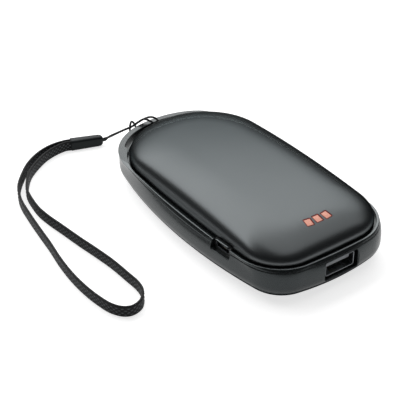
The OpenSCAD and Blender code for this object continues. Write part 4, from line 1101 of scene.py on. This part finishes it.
TONGUE_TOP = USB_Z + USB_HALF_H - TONGUE_DROP
HOUSING_HALF_W, HOUSING_HALF_H = 6.2, 2.51
tongue = rounded_box(
    "output_tongue",
    (USB_X - TONGUE_HALF_W, USB_Y + 1.75, TONGUE_TOP - TONGUE_T),
    (USB_X + TONGUE_HALF_W, USB_Y + 12.5, TONGUE_TOP),
    0.28, [tongue_plastic],
)
housing = rounded_box(
    "housing",
    (USB_X - HOUSING_HALF_W, USB_Y + 11.0, USB_Z - HOUSING_HALF_H),
    (USB_X + HOUSING_HALF_W, USB_Y + 13.6, USB_Z + HOUSING_HALF_H),
    0.3, [tongue_plastic],
)
join(tongue, housing)
tidy(tongue, 50)
piece(tongue, "casing", "grey_plastic", "usb_a_tongue")


# Charging input
def micro_contour_of(w, h, cut_off):
    """The input socket's outline: a rectangle whose two lower corners are cut off."""
    corners = np.array([
        (-w / 2, h / 2), (-w / 2, cut_off - h / 2), (cut_off - w / 2, -h / 2),
        (w / 2 - cut_off, -h / 2), (w / 2, cut_off - h / 2), (w / 2, h / 2),
    ])
    out = []
    for k in range(len(corners)):
        before, here, after = corners[k - 1], corners[k], corners[(k + 1) % len(corners)]
        out.append(rounded_corner(before, here, after, 0.22, 4))
    return np.concatenate(out)


def micro_place(u, z, depth):
    return (MICRO_X + MICRO_SINK + depth, MICRO_Y + u, MICRO_Z + z)


# Its steel is painted darker, as painted shade inside the small opening
micro_shell = tube_along(
    "input_shell", micro_contour_of(7.4, 2.35, 0.82), micro_contour_of(6.9, 1.85, 0.7),
    MICRO_L, micro_place, [shaded_steel], lip=0.08,
)
piece(micro_shell, "casing", "plated_steel", "micro_usb_shell")

# A black collar between the shell and the frame's opening: painted shade, standing in for the shade in
# that gap
COLLAR_T = 1.3
collar_outer = rounded_rect(MICRO_OPEN[0] + 0.1, MICRO_OPEN[1] + 0.1, MICRO_OPEN[2], 8)
collar_outer = collar_outer + np.array([0, -MICRO_OPEN_DROP])
collar_inner = resample_like(micro_contour_of(7.42, 2.37, 0.82), len(collar_outer))
collar_rings = [
    np.array([micro_place(u, z, depth) for u, z in contour])
    for contour, depth in (
        (collar_outer, 0.0), (collar_outer, COLLAR_T), (collar_inner, COLLAR_T), (collar_inner, 0.0),
    )
]
# Black all over as painted shade round the shell
collar = loft("input_shade_collar", collar_rings, 50, [black_plastic], "wrap")
piece(collar, "casing", "black_plastic")

# Button
belly_at_button = belly[0] - belly[1] + math.sqrt(belly[1] ** 2 - (BUTTON_Y - WIDEST_Y) ** 2)
button_low, button_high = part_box("power_button")
cap_face = button_high[0] / MM
cap_back = button_low[0] / MM
cap_mid = np.array([BUTTON_Y, BUTTON_Z])
cap = rounded_rect(BUTTON_L, BUTTON_H, BUTTON_H / 2 - 0.02, 12) + cap_mid


def cap_ring(x, shrink):
    size = np.array([BUTTON_L, BUTTON_H])
    p = cap_mid + (cap - cap_mid) * (1 - 2 * shrink / size)
    return np.column_stack([np.full(len(p), x), p])


def block(name, contour, near_x, far_x):
    """A straight block along X."""
    rings = [np.column_stack([np.full(len(contour), x), contour]) for x in (near_x, far_x)]
    return loft(name, rings, 40, [button_plastic], "face")


CAP_ROUND, CAP_DOME = 0.38, 0.12
FLANGE_MORE, NUB_W, NUB_H = 0.8, 2.6, 1.6
flange_face = belly_at_button - BUTTON_WALL - BUTTON_GAP
cap_rings = [cap_ring(flange_face - FLANGE_T / 2, 0.0)]
cap_rings += [
    cap_ring(cap_face - CAP_DOME - depth, inset)
    for inset, depth in rounding(CAP_ROUND, (0, 20, 40, 60, 80))
]
cap_rings += [
    cap_ring(cap_face - CAP_DOME + CAP_DOME * share, CAP_ROUND + 1.2 * share)
    for share in (0.35, 0.7, 1.0)
]
button = loft("button_cap", cap_rings, 40, [button_plastic])
flange = rounded_rect(BUTTON_L + FLANGE_MORE, BUTTON_H + FLANGE_MORE, BUTTON_H / 2, 8) + cap_mid
nub = rounded_rect(NUB_W, NUB_H, 0.2, 4) + cap_mid
join(
    button, block("flange", flange, flange_face - FLANGE_T, flange_face),
    block("nub", nub, cap_back, flange_face - FLANGE_T / 2),
)
tidy(button, 40)
piece(button, "button", "button_plastic", "power_button")


# Floor, backdrop and light
def stage_plane(name, size, z):
    mesh = bpy.data.meshes.new(name)
    s = size / 2
    mesh.from_pydata([(-s, -s, z), (s, -s, z), (s, s, z), (-s, s, z)], [], [(0, 1, 2, 3)])
    obj = placed(name, mesh)
    return obj


floor = stage_plane("floor", 8.0, -0.00005)
floor_mat = bpy.data.materials.new("floor")
floor_mat.use_nodes = True
tree = floor_mat.node_tree
tree.nodes.clear()
out = tree.nodes.new("ShaderNodeOutputMaterial")
diffuse = tree.nodes.new("ShaderNodeBsdfDiffuse")
diffuse.inputs["Color"].default_value = (0.62, 0.62, 0.62, 1)
lit = tree.nodes.new("ShaderNodeEmission")
lit.inputs["Color"].default_value = (1, 1, 1, 1)
rays = tree.nodes.new("ShaderNodeLightPath")


def math_node(operation, first, second):
    """A math node of the given operation on a node's output and another one or a number."""
    node = tree.nodes.new("ShaderNodeMath")
    node.operation = operation
    tree.links.new(first, node.inputs[0])
    if isinstance(second, float):
        node.inputs[1].default_value = second
    else:
        tree.links.new(second, node.inputs[1])
    return node.outputs[0]


# The floor glows for camera, glossy and transmission rays, and sheds no diffuse light of its own
FLOOR_GLOW = 0.7
seen = math_node("MAXIMUM", rays.outputs["Is Camera Ray"], rays.outputs["Is Glossy Ray"])
seen = math_node("MAXIMUM", seen, rays.outputs["Is Transmission Ray"])
tree.links.new(math_node("MULTIPLY", seen, FLOOR_GLOW), lit.inputs["Strength"])
total = tree.nodes.new("ShaderNodeAddShader")
tree.links.new(diffuse.outputs[0], total.inputs[0])
tree.links.new(lit.outputs[0], total.inputs[1])
tree.links.new(total.outputs[0], out.inputs["Surface"])
floor.data.materials.append(floor_mat)

world = bpy.data.worlds.new("world")
bpy.context.scene.world = world
world.use_nodes = True
background = world.node_tree.nodes["Background"]
background.inputs["Color"].default_value = (0.95, 0.97, 1.0, 1)
background.inputs["Strength"].default_value = 0.08


def lamp(name, place, target, size, power):
    """A rectangular soft box that points at a target; size is its two sides in metres."""
    data = bpy.data.lights.new(name, "AREA")
    data.shape = "RECTANGLE"
    data.size, data.size_y = size
    data.energy = power
    obj = placed(name, data)
    obj.location = place
    obj.rotation_euler = (Vector(target) - Vector(place)).to_track_quat("-Z", "Y").to_euler()


lamp("key_box", place=(0.275, 0.93, 0.6), target=(0.275, 0.93, 0.0), size=(1.65, 1.44), power=22.6)
lamp("fill_box", place=(0.4, -0.05, 0.6), target=(0.4, -0.05, 0.0), size=(1.0, 0.45), power=1.5)

bpy.context.scene.view_settings.view_transform = "Standard"
